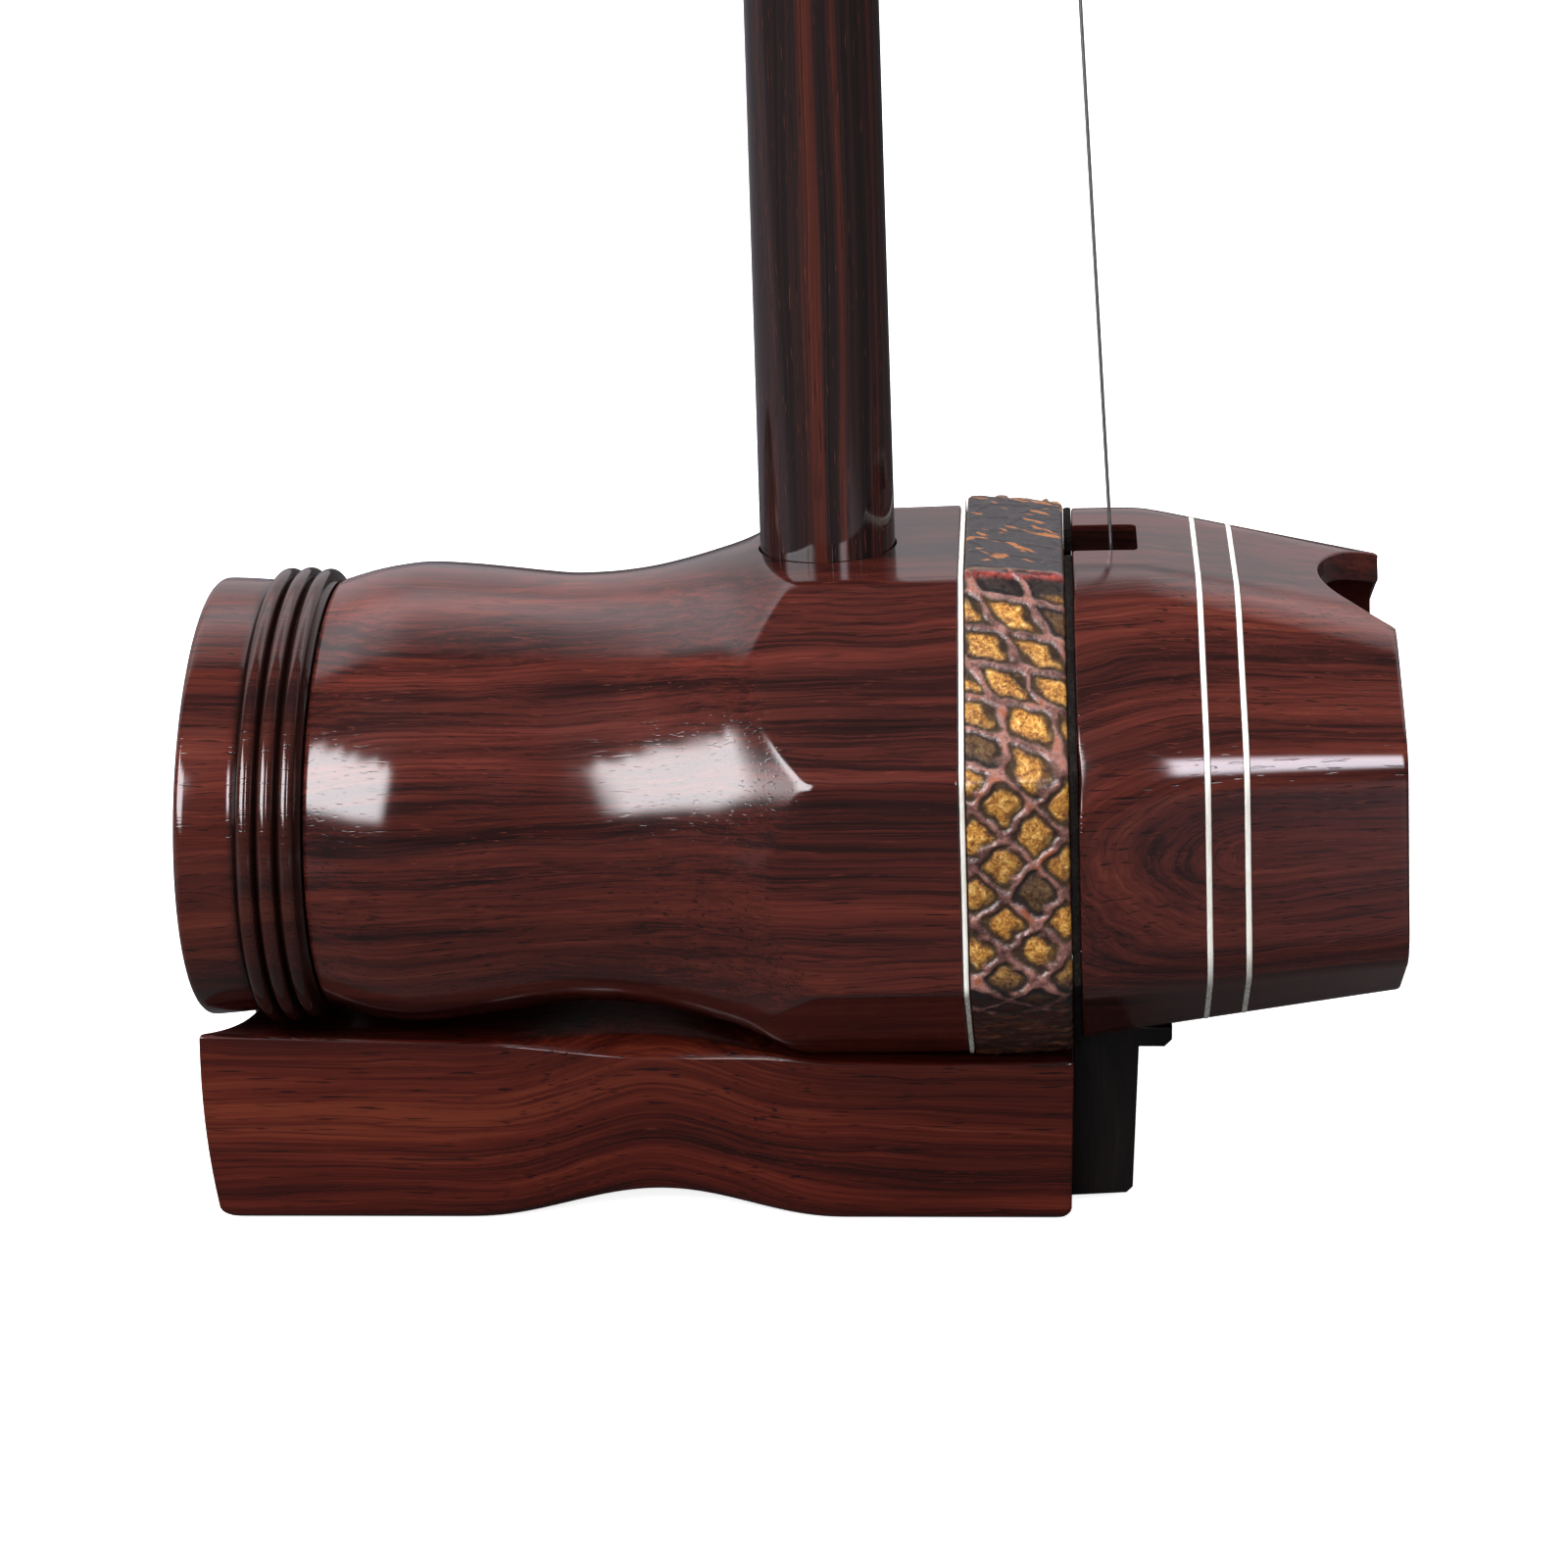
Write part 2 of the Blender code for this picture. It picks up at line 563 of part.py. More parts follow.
def build_bolt():
    """Bolt from under the base up into the neck."""
    under_head = BOLT_SEAT - GAP
    turned("base_bolt", [(0, -25.5), (2.6, -26.5), (BOLT_R, -28.0), (BOLT_R, under_head),
                         (BOLT_HEAD_R, under_head), (BOLT_HEAD_R, -63.2), (5.8, -64.0),
                         (0, -64.0)], 20, "steel", along="z")


# ------------------------------------------------------------------ bracket (level)
BRACKET_REAR = BASE_FRONT + 0.4
# (x, z) outline seen from the side
BRACKET_SIDE = [(BRACKET_REAR, 0.9), (47.9, 1.4), (48.9, 2.4), (49.5, 26.6), (53.6, 26.6),
                (54.8, 27.8), (54.8, BRACKET_TOP), (BRACKET_REAR, BRACKET_TOP)]
SCREW_R, SCREW_HEAD_R = 1.6, 3.3
SCREW_PLAY = 0.4              # radial clearance round the screws
SCREW_SEAT = 47.4             # bottom of the recess for a screw's head
PIN_R, PIN_X = 1.15, 43.6


def build_bracket(base):
    """Black bracket on the front of the base: it holds the string pins and carries the hood."""
    bracket = outline("tail_bracket", BRACKET_SIDE, -BRACKET_B, BRACKET_B, "black_wood",
                      plane="xz", tilt=False)
    hole_r, under_head = SCREW_R + SCREW_PLAY, SCREW_SEAT + GAP
    for name, z in (("bracket_screw_lower", 8.0), ("bracket_screw_upper", 19.0)):
        boolean(bracket, rod_cutter("cut_" + name, hole_r, 30, (45.0, 0, z), along="x",
                                    sides=16, tilt=False))
        boolean(bracket, rod_cutter("cut_head_" + name, SCREW_HEAD_R + SCREW_PLAY, 6,
                                    (SCREW_SEAT + 3, 0, z), along="x", sides=20, tilt=False))
        boolean(base, rod_cutter("cut_base_" + name, hole_r, 30, (40.0, 0, z), along="x",
                                 sides=16, tilt=False))
        turned(name, [(0, 48.9), (2.4, 48.9), (SCREW_HEAD_R, 48.2), (SCREW_HEAD_R, under_head),
                      (SCREW_R, under_head), (SCREW_R, 26.5), (0, 25.6)],
               16, "steel", at=(0, 0, z), tilt=False)
    for name, y in (("string_pin_inner", PIN_Y), ("string_pin_outer", -PIN_Y)):
        boolean(bracket, rod_cutter("cut_" + name, PIN_R + GAP, 12, (PIN_X, y, BRACKET_TOP),
                                    sides=16, tilt=False))
        turned(name, [(0, 35.0), (1.6, 34.6), (1.6, 34.0), (PIN_R, 33.5), (PIN_R, 24.6),
                      (0, 24.2)], 16, "brass", along="z", at=(PIN_X, y, 0), tilt=False)


# ------------------------------------------------------------------ bridge and damper
# (distance in front of the skin, y): down the front, then back through the arch at the skin
BRIDGE_PLAN = [
    (0, -10.5), (1.6, -10.5), (3.6, -9.2), (7.0, -5.6), (8.0, -4.7), (8.0, -3.1), (7.2, -1.8),
    (7.2, 1.8), (8.0, 3.1), (8.0, 4.7), (7.0, 5.6), (3.6, 9.2), (1.6, 10.5), (0, 10.5),
    (0, 4.6), (1.9, 3.0), (2.5, 0.0), (1.9, -3.0), (0, -4.6),
]


def build_bridge_and_damper():
    outline("bridge", [(SKIN_CLEAR + x, y) for x, y in BRIDGE_PLAN], -2.4, 2.4, "maple")
    turned("damper_felt", [(0, -12.0), (3.0, -12.2), (3.3, -13.0), (3.3, -21.0), (3.0, -21.8),
                           (0, -22.0)], 20, "felt", along="z", at=(SKIN_CLEAR + 3.4, 0, 0))


# ------------------------------------------------------------------ pegs
# (radius, x) from the front end, through the neck, to the rear of the handle
PEG_PROFILE = [
    (0, 27.0), (3.6, 27.0), (4.4, 26.2), (4.6, 24.0), (4.7, 12.5), (5.35, -12.5),
    (PEG_R, -13.2), (PEG_R, -17.2), (6.9, -19.0), (8.4, -24.0), (9.4, -34.0), (9.7, -50.0),
    (9.2, -66.0), (8.0, -76.0), (6.4, -81.0), (4.0, -83.0), (0, -83.0),
]
BUTTON_PROFILE = [(0, -83.3), (3.9, -83.3), (4.3, -84.6), (3.6, -87.4), (2.0, -88.8),
                  (0, -89.2)]
RING_PROFILE = [(7.0, -13.5), (7.4, -14.2), (7.4, -16.0), (7.0, -16.7),
                (PEG_R + GAP, -16.7), (PEG_R + GAP, -13.5)]
WIND_INNER, WIND_ROOT, WIND_OUTER = 5.1, 5.75, 6.1  # radii: bore, between turns, over turns


def build_peg(which, z, wind_x):
    at = (0, 0, z)
    turned("%s_peg" % which, PEG_PROFILE, 20, "rosewood", at=at)
    turned("%s_peg_button" % which, BUTTON_PROFILE, 20, "bone", at=at)
    turned("%s_peg_ring" % which, RING_PROFILE, 18, "bone", closed=True, at=at)
    winding = [(WIND_INNER, wind_x + 2.0), (WIND_ROOT, wind_x + 2.0)]
    for k in range(4):
        x = wind_x + 1.5 - 1.0 * k
        winding += [(WIND_OUTER, x + 0.25), (WIND_OUTER, x - 0.25), (WIND_ROOT, x - 0.5)]
    winding.append((WIND_INNER, wind_x - 2.0))
    turned("%s_winding" % which, winding, 14, "steel", closed=True, at=at)


# ------------------------------------------------------------------ strings and their cord loop
def build_string(name, side, radius, which):
    """String from its pin over the bridge, through the cord loop, to its peg's winding."""
    peg_z, wind_x = PEGS[which]
    y = side * STRING_Y
    drift = side * STRING_LOOP_Y - y
    points = [(44.4, side * PIN_Y, -34.8), (BRIDGE_X, y, -3.5), (BRIDGE_X, y, 3.5)]
    points += [(BRIDGE_X - STRING_SLOPE * z, y + drift * z / QIANJIN_Z, z)
               for z in (130.0, 260.0, QIANJIN_Z)]
    points.append((wind_x, side * 6.75, peg_z))
    wire(name, points, radius, "steel")


LOOP_POINTS = 32
LOOP_OFF = 1.55               # cord's centre line outside the neck's surface
TIP_R = 4.6                   # cord's round about the two strings


def build_cord():
    """Taut loop: the hull of the neck's oval and a small round about the two strings."""
    neck_x = neck_radius(QIANJIN_Z)
    loop_x = neck_x + LOOP_OFF
    loop_y = NECK_RY * neck_x / NECK_RX + LOOP_OFF
    tip_x = BRIDGE_X - STRING_SLOPE * QIANJIN_Z - 1.9
    loop = []
    for k in range(LOOP_POINTS):
        angle = 2 * math.pi * k / LOOP_POINTS
        cos, sin = math.cos(angle), math.sin(angle)
        reach = math.hypot(loop_x * cos, loop_y * sin)
        if reach >= tip_x * cos + TIP_R:
            x, y = loop_x * loop_x * cos / reach, loop_y * loop_y * sin / reach
        else:
            x, y = tip_x + TIP_R * cos, TIP_R * sin
        loop.append((x, y, QIANJIN_Z))
    wire("qianjin_cord", loop, 1.1, "cord", cyclic=True)


# ------------------------------------------------------------------ assembly
build_body()
build_rim()
build_front_inlay()
build_skin()
build_window()
build_neck()
build_hood()
build_gasket()
base_piece = build_base()
build_bolt()
build_bracket(base_piece)
build_bridge_and_damper()
for peg, (peg_height, winding_x) in PEGS.items():
    build_peg(peg, peg_height, winding_x)
build_string("inner_string", side=1, radius=0.32, which="upper")
build_string("outer_string", side=-1, radius=0.22, which="lower")
build_cord()

for piece in parts.objects:
    if piece.type == "MESH":
        piece.data.shade_smooth()
        piece.data.set_sharp_from_angle(angle=math.radians(35))
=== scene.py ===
# Erhu, the looks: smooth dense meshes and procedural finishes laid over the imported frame.
# Pieces are modelled in millimetres about the neck's line and the sound box's axis, then placed on the frame.
import math

import bmesh
import bpy
import numpy as np
from mathutils import Matrix, Vector


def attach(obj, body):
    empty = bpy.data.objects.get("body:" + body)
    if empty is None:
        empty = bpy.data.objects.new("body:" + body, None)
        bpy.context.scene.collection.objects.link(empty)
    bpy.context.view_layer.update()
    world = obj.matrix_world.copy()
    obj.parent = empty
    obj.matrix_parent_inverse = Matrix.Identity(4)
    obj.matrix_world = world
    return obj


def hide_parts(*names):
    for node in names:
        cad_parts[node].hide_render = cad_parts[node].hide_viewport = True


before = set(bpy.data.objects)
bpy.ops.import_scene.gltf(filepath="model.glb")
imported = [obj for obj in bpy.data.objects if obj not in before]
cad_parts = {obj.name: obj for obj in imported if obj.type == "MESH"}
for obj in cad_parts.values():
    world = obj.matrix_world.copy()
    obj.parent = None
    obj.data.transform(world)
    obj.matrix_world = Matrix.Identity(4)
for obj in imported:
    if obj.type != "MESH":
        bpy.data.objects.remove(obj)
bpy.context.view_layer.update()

LEAN, AXIS_H, FOOT_X = math.radians(1.9), 66.2, 24.0
FLAT = Matrix.Translation((-FOOT_X / 1000, 0, 0))
TILT = FLAT @ Matrix.Translation((0, 0, AXIS_H / 1000)) @ Matrix.Rotation(-LEAN, 4, "Y")
OCT = dict(top=39.6, bottom=39.6, b=41.4, ct=16.9, cb=16.9, a=16.5)
SKIN_FRONT, BODY_RING = 37.7, 21.0
NECK_RX, NECK_RY, NECK_FOOT, HEAD_Z, HEAD_R = 10.8, 7.8, -48.0, 660.0, 105.0
HEAD_S = HEAD_Z + HEAD_R * 0.86
PEG_Z = {"lower": 566.0, "upper": 630.0}
WIND_X = {"lower": 15.8, "upper": 20.5}
QIANJIN_Z, BRIDGE_X, SLOPE = 390.0, 46.6, 0.035
scene = bpy.context.scene
col = scene.collection


# ------------------------------------------------------------------ node helpers
class Net:
    """A material's node tree with short calls for the usual nodes."""

    def __init__(self, name, **principled):
        self.mat = bpy.data.materials.new(name)
        self.mat.use_nodes = True
        self.nt = self.mat.node_tree
        self.nt.nodes.clear()
        self.out = self.nt.nodes.new("ShaderNodeOutputMaterial")
        self.bsdf = self.nt.nodes.new("ShaderNodeBsdfPrincipled")
        self.nt.links.new(self.bsdf.outputs[0], self.out.inputs[0])
        self.set(**principled)

    def set(self, **values):
        for k, v in values.items():
            self.put(self.bsdf.inputs[k.replace("_", " ")], v)

    def put(self, socket, v):
        if isinstance(v, bpy.types.NodeSocket):
            self.nt.links.new(v, socket)
        elif isinstance(v, (tuple, list)) and len(v) == 3 and len(getattr(socket, "default_value", ())) == 4:
            socket.default_value = (*v, 1)
        else:
            socket.default_value = v

    def node(self, kind, ins=None, **props):
        n = self.nt.nodes.new(kind)
        for k, v in props.items():
            setattr(n, k, v)
        for k, v in (ins or {}).items():
            self.put(n.inputs[k], v)
        return n

    def math(self, op, a, b=0.0, c=0.0, clamp=False):
        return self.node("ShaderNodeMath", {0: a, 1: b, 2: c}, operation=op, use_clamp=clamp).outputs[0]

    def add(self, a, b):
        return self.math("ADD", a, b)

    def mul(self, a, b):
        return self.math("MULTIPLY", a, b)

    def mad(self, a, b, c):
        return self.math("MULTIPLY_ADD", a, b, c)

    def span(self, v, lo, hi, to_lo=0.0, to_hi=1.0, smooth=True):
        return self.node("ShaderNodeMapRange", {"Value": v, "From Min": lo, "From Max": hi, "To Min": to_lo, "To Max": to_hi},
                         interpolation_type="SMOOTHSTEP" if smooth else "LINEAR").outputs[0]

    def mix(self, fac, a, b, blend="MIX"):
        n = self.node("ShaderNodeMix", data_type="RGBA", blend_type=blend)
        self.put(n.inputs[0], fac)
        self.put(n.inputs[6], a)
        self.put(n.inputs[7], b)
        return n.outputs[2]

    def ramp(self, fac, stops, interpolation="LINEAR"):
        n = self.node("ShaderNodeValToRGB", {0: fac})
        n.color_ramp.interpolation = interpolation
        el = n.color_ramp.elements
        while len(el) < len(stops):
            el.new(0.5)
        for e, (p, c) in zip(el, stops):
            e.position = p
            e.color = (*c, 1)
        return n.outputs[0]

    def vec(self, x=0.0, y=0.0, z=0.0):
        return self.node("ShaderNodeCombineXYZ", {0: x, 1: y, 2: z}).outputs[0]

    def noise(self, vec, scale=1.0, detail=2.0, rough=0.5, dist=0.0):
        return self.node("ShaderNodeTexNoise", {"Vector": vec, "Scale": scale, "Detail": detail, "Roughness": rough,
                                                "Distortion": dist}).outputs[0]

    def mm(self):
        """The piece's own coordinates in millimetres."""
        tc = self.node("ShaderNodeTexCoord").outputs["Object"]
        v = self.node("ShaderNodeVectorMath", {0: tc, "Scale": 1000.0}, operation="SCALE").outputs[0]
        s = self.node("ShaderNodeSeparateXYZ", {0: v})
        return s.outputs[0], s.outputs[1], s.outputs[2]

    def attr(self, name):
        return self.node("ShaderNodeAttribute", attribute_name=name).outputs["Fac"]

    def bump(self, height, strength=1.0, distance=0.0001, normal=None):
        n = self.node("ShaderNodeBump", {"Height": height, "Strength": strength, "Distance": distance})
        if normal is not None:
            self.put(n.inputs["Normal"], normal)
        return n.outputs[0]


def wood(name, stops, along="x", lay=(0.45, 0.9), seed=0.0, broad=0.10, fine=0.75, warp=5.0, rough=0.3, coat=1.0,
         coat_rough=0.07, pore=0.75, pore_colour=(0.004, 0.002, 0.002), flow=None, stretch=1.0, bump=1.0, gain=1.0):
    """Polished figured wood. The grain runs along one axis through curved growth layers, so carved surfaces cut it into contours."""
    g = Net(name)
    x, y, z = g.mm()
    a, b, c = (x, y, z) if along == "x" else (z, x, y)
    wander = g.noise(g.vec(g.mad(a, 0.010 / stretch, seed), g.mul(b, 0.035), g.mul(c, 0.035)), detail=2, rough=0.5)
    wander = g.mul(g.add(wander, -0.5), 2 * warp)
    small = g.noise(g.vec(g.mad(a, 0.045 / stretch, seed + 7), g.mul(b, 0.16), g.mul(c, 0.16)), detail=2)
    wander = g.add(wander, g.mul(g.add(small, -0.5), 2.2))
    if flow:
        wander = g.add(wander, flow(g, x, y, z))
    layer = g.add(g.add(g.mul(b, lay[0]), g.mul(c, lay[1])), wander)
    cross = g.add(g.mul(c, lay[0]), g.mul(b, -lay[1]))
    n1 = g.noise(g.vec(g.mad(a, 0.0035 / stretch, seed + 3), g.mul(layer, broad), g.mul(cross, 0.015)), detail=4, rough=0.55)
    n2 = g.noise(g.vec(g.mad(a, 0.006 / stretch, seed + 11), g.mul(layer, fine * 0.42), g.mul(cross, 0.05)), detail=3, rough=0.6)
    n3 = g.noise(g.vec(g.mad(a, 0.022 / stretch, seed + 5), g.mul(layer, fine * 2.3), g.mul(cross, 0.6)), detail=4, rough=0.7)
    f = g.add(g.add(g.mul(n1, 0.38), g.mul(n2, 0.33)), g.mul(n3, 0.29))
    f = g.mad(g.add(f, -0.5), gain, 0.5)
    colour = g.ramp(f, stops)
    # black mineral lines that follow the layers
    line = g.noise(g.vec(g.mad(a, 0.004 / stretch, seed + 21), g.mul(layer, fine * 0.8), g.mul(cross, 0.03)), detail=2, rough=0.5)
    line = g.math("ABSOLUTE", g.add(line, -0.5))
    colour = g.mix(g.mul(g.span(line, 0.020, 0.0), 0.5), colour, stops[0][1])
    # open pores: short flecks along the grain
    p = g.noise(g.vec(g.mad(a, 0.13, seed + 9), g.mul(b, 2.3), g.mul(c, 2.3)), detail=1, rough=0.5)
    p = g.span(p, 0.62, 0.72)
    where = g.span(n1, 0.35, 0.62, 0.35, 1.0)
    p = g.mul(p, where)
    colour = g.mix(g.mul(p, pore), colour, pore_colour)
    glint = g.noise(g.vec(g.mad(a, 0.19, seed + 31), g.mul(b, 3.1), g.mul(c, 3.1)), detail=1)
    colour = g.mix(g.mul(g.span(glint, 0.68, 0.76), 0.4), colour, stops[-1][1])
    swell = g.noise(g.vec(g.mul(a, 0.03), g.mul(b, 0.07), g.mul(c, 0.07)), detail=1)
    height = g.add(g.add(g.mul(p, -0.5), g.mul(n3, 0.12)), g.mul(swell, 1.6))
    nrm = g.bump(height, 0.55 * bump, 0.00012)
    r = g.mad(p, 0.25, g.mad(n2, 0.18, rough - 0.09))
    g.set(Base_Color=colour, Roughness=r, Coat_Weight=coat, Coat_Roughness=coat_rough, Coat_IOR=1.5,
          Specular_IOR_Level=0.0, Normal=nrm)
    g.put(g.bsdf.inputs["Coat Normal"], g.bump(g.add(g.mul(p, -0.35), g.mul(swell, 1.6)), 0.4 * bump, 0.0001))
    return g.mat


ROSE = [(0.34, (0.0062, 0.0026, 0.0025)), (0.42, (0.024, 0.0058, 0.0050)), (0.50, (0.062, 0.0120, 0.0086)),
        (0.58, (0.100, 0.0190, 0.0125)), (0.67, (0.165, 0.036, 0.020))]
ROSE_RED = [(0.35, (0.0068, 0.0022, 0.0019)), (0.43, (0.024, 0.0042, 0.0030)), (0.50, (0.054, 0.0076, 0.0047)),
            (0.57, (0.088, 0.0130, 0.0070)), (0.66, (0.140, 0.026, 0.012))]
NECK_STOPS = [(0.34, (0.005, 0.0034, 0.0036)), (0.46, (0.014, 0.0085, 0.009)), (0.53, (0.028, 0.012, 0.011)),
              (0.59, (0.075, 0.017, 0.011)), (0.68, (0.16, 0.04, 0.02))]


def hood_flow(g, x, y, z):
    """Layers close into a pointed arch towards the hood's rear."""
    dx = g.mul(g.math("MAXIMUM", g.mad(x, -1.0, 66.0), 0.0), 0.62)
    dz = g.add(z, -2.5)
    d = g.math("SQRT", g.add(g.mul(dx, dx), g.mul(dz, dz)))
    near = g.span(y, -30.0, -10.0, 1.0, 0.0)
    return g.mul(g.mul(g.add(d, g.mul(dz, -1.0)), 0.8), near)


def base_flow(g, x, y, z):
    """Layers rise over the base's arch and pinch at its waist."""
    u = g.mul(g.add(x, 27.0), 1 / 15.0)
    h = g.math("POWER", 2.718, g.mul(g.mul(u, u), -1.0))
    return g.mul(h, -5.5)


M_BODY = wood("rosewood_body", ROSE, seed=2.3, lay=(0.35, 0.94), broad=0.10, fine=0.8, coat_rough=0.115, gain=1.25)
M_RIM = wood("rosewood_rim", [(p, tuple(0.84 * v for v in c)) for p, c in ROSE], seed=14.1, lay=(0.75, 0.66), broad=0.12, fine=0.7, stretch=1.0, coat_rough=0.10, gain=1.2)
M_HOOD = wood("rosewood_hood", [(p, (0.86 * c[0], 0.92 * c[1], 0.95 * c[2])) for p, c in ROSE], seed=41.7, lay=(0.62, 0.78), broad=0.11, fine=0.8, flow=hood_flow, warp=3.5, coat_rough=0.11, gain=1.25)
M_PEG = wood("rosewood_pegs", ROSE, seed=63.0, lay=(0.6, 0.8), coat_rough=0.1)
M_BASE = wood("rosewood_base", ROSE_RED, seed=27.9, lay=(0.3, 0.95), broad=0.12, fine=0.85, flow=base_flow, warp=4.0,
              coat=0.85, coat_rough=0.16, gain=1.25)
M_NECK = wood("neck_wood", NECK_STOPS, along="z", seed=8.8, lay=(0.9, 0.44), broad=0.32, fine=1.5, stretch=3.0, warp=1.2,
              coat_rough=0.09, pore=0.5)
M_LATTICE = wood("lattice_wood", ROSE_RED, seed=77.0, along="x", lay=(0.2, 0.98), coat=0.4, coat_rough=0.25)
def dull_bed(mat):
    """Takes the polish off the upward face."""
    nt_ = mat.node_tree
    g = Net.__new__(Net)
    g.mat, g.nt = mat, nt_
    bsdf = next(n for n in nt_.nodes if n.type == "BSDF_PRINCIPLED")
    up = g.node("ShaderNodeSeparateXYZ", {0: g.node("ShaderNodeNewGeometry").outputs["Normal"]}).outputs[2]
    g.put(bsdf.inputs["Coat Weight"], g.span(up, 0.86, 0.97, 0.85, 0.04))


def paint_slot_shade(mat):
    """Painted shade: the string slot's walls are painted near black and their polish is taken off, standing in for the
    shade inside the slot.
    """
    g = Net.__new__(Net)
    g.mat, g.nt = mat, mat.node_tree
    bsdf = next(n for n in g.nt.nodes if n.type == "BSDF_PRINCIPLED")
    x, y, z = g.mm()
    inside = g.mul(g.mul(g.span(z, 38.7, 38.2), g.span(z, 24.0, 26.0)), g.mul(g.span(g.math("ABSOLUTE", y), 6.6, 6.2), g.span(x, 50.6, 50.2)))
    old = bsdf.inputs["Base Color"].links[0].from_socket
    # painted shade: near-black colour laid on the slot walls where the slot lies in shade
    g.put(bsdf.inputs["Base Color"], g.mix(g.mul(inside, 0.8), old, (0.004, 0.0025, 0.002)))
    g.put(bsdf.inputs["Coat Weight"], g.span(inside, 0.0, 1.0, 1.0, 0.15))


paint_slot_shade(M_HOOD)
dull_bed(M_BASE)


def paint_bead_shade(mat):
    """Painted shade: the turned beads are painted darker, and darkest in the grooves between them."""
    g = Net.__new__(Net)
    g.mat, g.nt = mat, mat.node_tree
    bsdf = next(n for n in g.nt.nodes if n.type == "BSDF_PRINCIPLED")
    x, y, z = g.mm()
    r = g.math("SQRT", g.add(g.mul(y, y), g.mul(z, z)))
    # painted shade: darker over the bead zone, most where the radius is smallest, in the grooves
    beads = g.mul(g.span(x, -91.2, -90.0), g.span(r, 35.6, 34.0, 0.42, 0.95))
    old = bsdf.inputs["Base Color"].links[0].from_socket
    g.put(bsdf.inputs["Base Color"], g.mix(g.mad(beads, 0.9, 0.06), old, (0.010, 0.0045, 0.004)))


paint_bead_shade(M_RIM)
M_BLACK = wood("black_wood", [(0.36, (0.005, 0.0045, 0.0045)), (0.48, (0.009, 0.008, 0.008)), (0.56, (0.013, 0.0105, 0.010)),
                              (0.66, (0.024, 0.017, 0.015))], along="z", seed=5.0, coat=0.35, coat_rough=0.3, rough=0.42, pore=0.3)
M_BRIDGE = wood("bridge_wood", [(0.36, (0.20, 0.10, 0.04)), (0.46, (0.33, 0.18, 0.075)), (0.54, (0.42, 0.25, 0.11)),
                                (0.64, (0.52, 0.33, 0.16))], along="z", seed=19.0, fine=1.6, coat=0.3, coat_rough=0.3,
                rough=0.4, pore_colour=(0.12, 0.055, 0.02), pore=0.5)


def bone(name="bone", tint=(1, 1, 1)):
    g = Net(name)
    x, y, z = g.mm()
    n = g.noise(g.vec(g.mul(x, 0.6), g.mul(y, 0.15), g.mul(z, 0.15)), detail=3)
    m = g.noise(g.vec(g.mul(x, 3.0), g.mul(y, 0.5), g.mul(z, 0.5)), detail=2)
    colour = g.ramp(g.add(g.mul(n, 0.7), g.mul(m, 0.3)), [(p, tuple(a * b for a, b in zip(c, tint))) for p, c in ((0.3, (0.74, 0.70, 0.61)), (0.5, (0.87, 0.85, 0.79)), (0.68, (0.94, 0.93, 0.90)))])
    g.set(Base_Color=colour, Roughness=g.mad(m, 0.15, 0.2), Subsurface_Weight=0.06, Subsurface_Radius=(0.001, 0.0008, 0.0006),
          Coat_Weight=0.5, Coat_Roughness=0.1, Normal=g.bump(m, 0.3, 0.00004))
    return g.mat


def felt():
    g = Net("felt")
    x, y, z = g.mm()
    n = g.noise(g.vec(x, y, z), scale=2.4, detail=4, rough=0.7)
    m = g.noise(g.vec(x, y, z), scale=0.5, detail=2)
    colour = g.ramp(g.add(g.mul(n, 0.6), g.mul(m, 0.4)), [(0.3, (0.006, 0.005, 0.005)), (0.55, (0.017, 0.014, 0.014)), (0.75, (0.035, 0.03, 0.03))])
    g.set(Base_Color=colour, Roughness=1.0, Specular_IOR_Level=0.0, Normal=g.bump(n, 1.0, 0.0004))
    return g.mat


def metal(name, colour, rough, spin, streak=6.0):
    """Turned or drawn metal: fine marks across the piece's axis, with a little tarnish."""
    g = Net(name)
    x, y, z = g.mm()
    s = {"x": (streak, 0.2, 0.2), "z": (0.2, 0.2, streak)}[spin]
    n = g.noise(g.vec(g.mul(x, s[0]), g.mul(y, s[1]), g.mul(z, s[2])), detail=2)
    m = g.noise(g.vec(x, y, z), scale=0.7, detail=3)
    dark = tuple(c * 0.62 for c in colour)
    g.set(Base_Color=g.mix(g.span(m, 0.4, 0.7), colour, dark), Metallic=1.0, Roughness=g.mad(m, 0.2, rough - 0.08),
          Normal=g.bump(n, 0.35, 0.00002))
    return g.mat


def cotton():
    g = Net("cotton_cord")
    x, y, z = g.mm()
    n = g.noise(g.vec(x, y, z), scale=4.0, detail=3, rough=0.7)
    m = g.noise(g.vec(x, y, z), scale=0.4, detail=2)
    colour = g.ramp(g.add(g.mul(n, 0.5), g.mul(m, 0.5)), [(0.3, (0.42, 0.36, 0.27)), (0.5, (0.66, 0.60, 0.49)), (0.7, (0.80, 0.76, 0.66))])
    g.set(Base_Color=colour, Roughness=0.95, Sheen_Weight=0.3, Normal=g.bump(n, 1.0, 0.0002))
    return g.mat


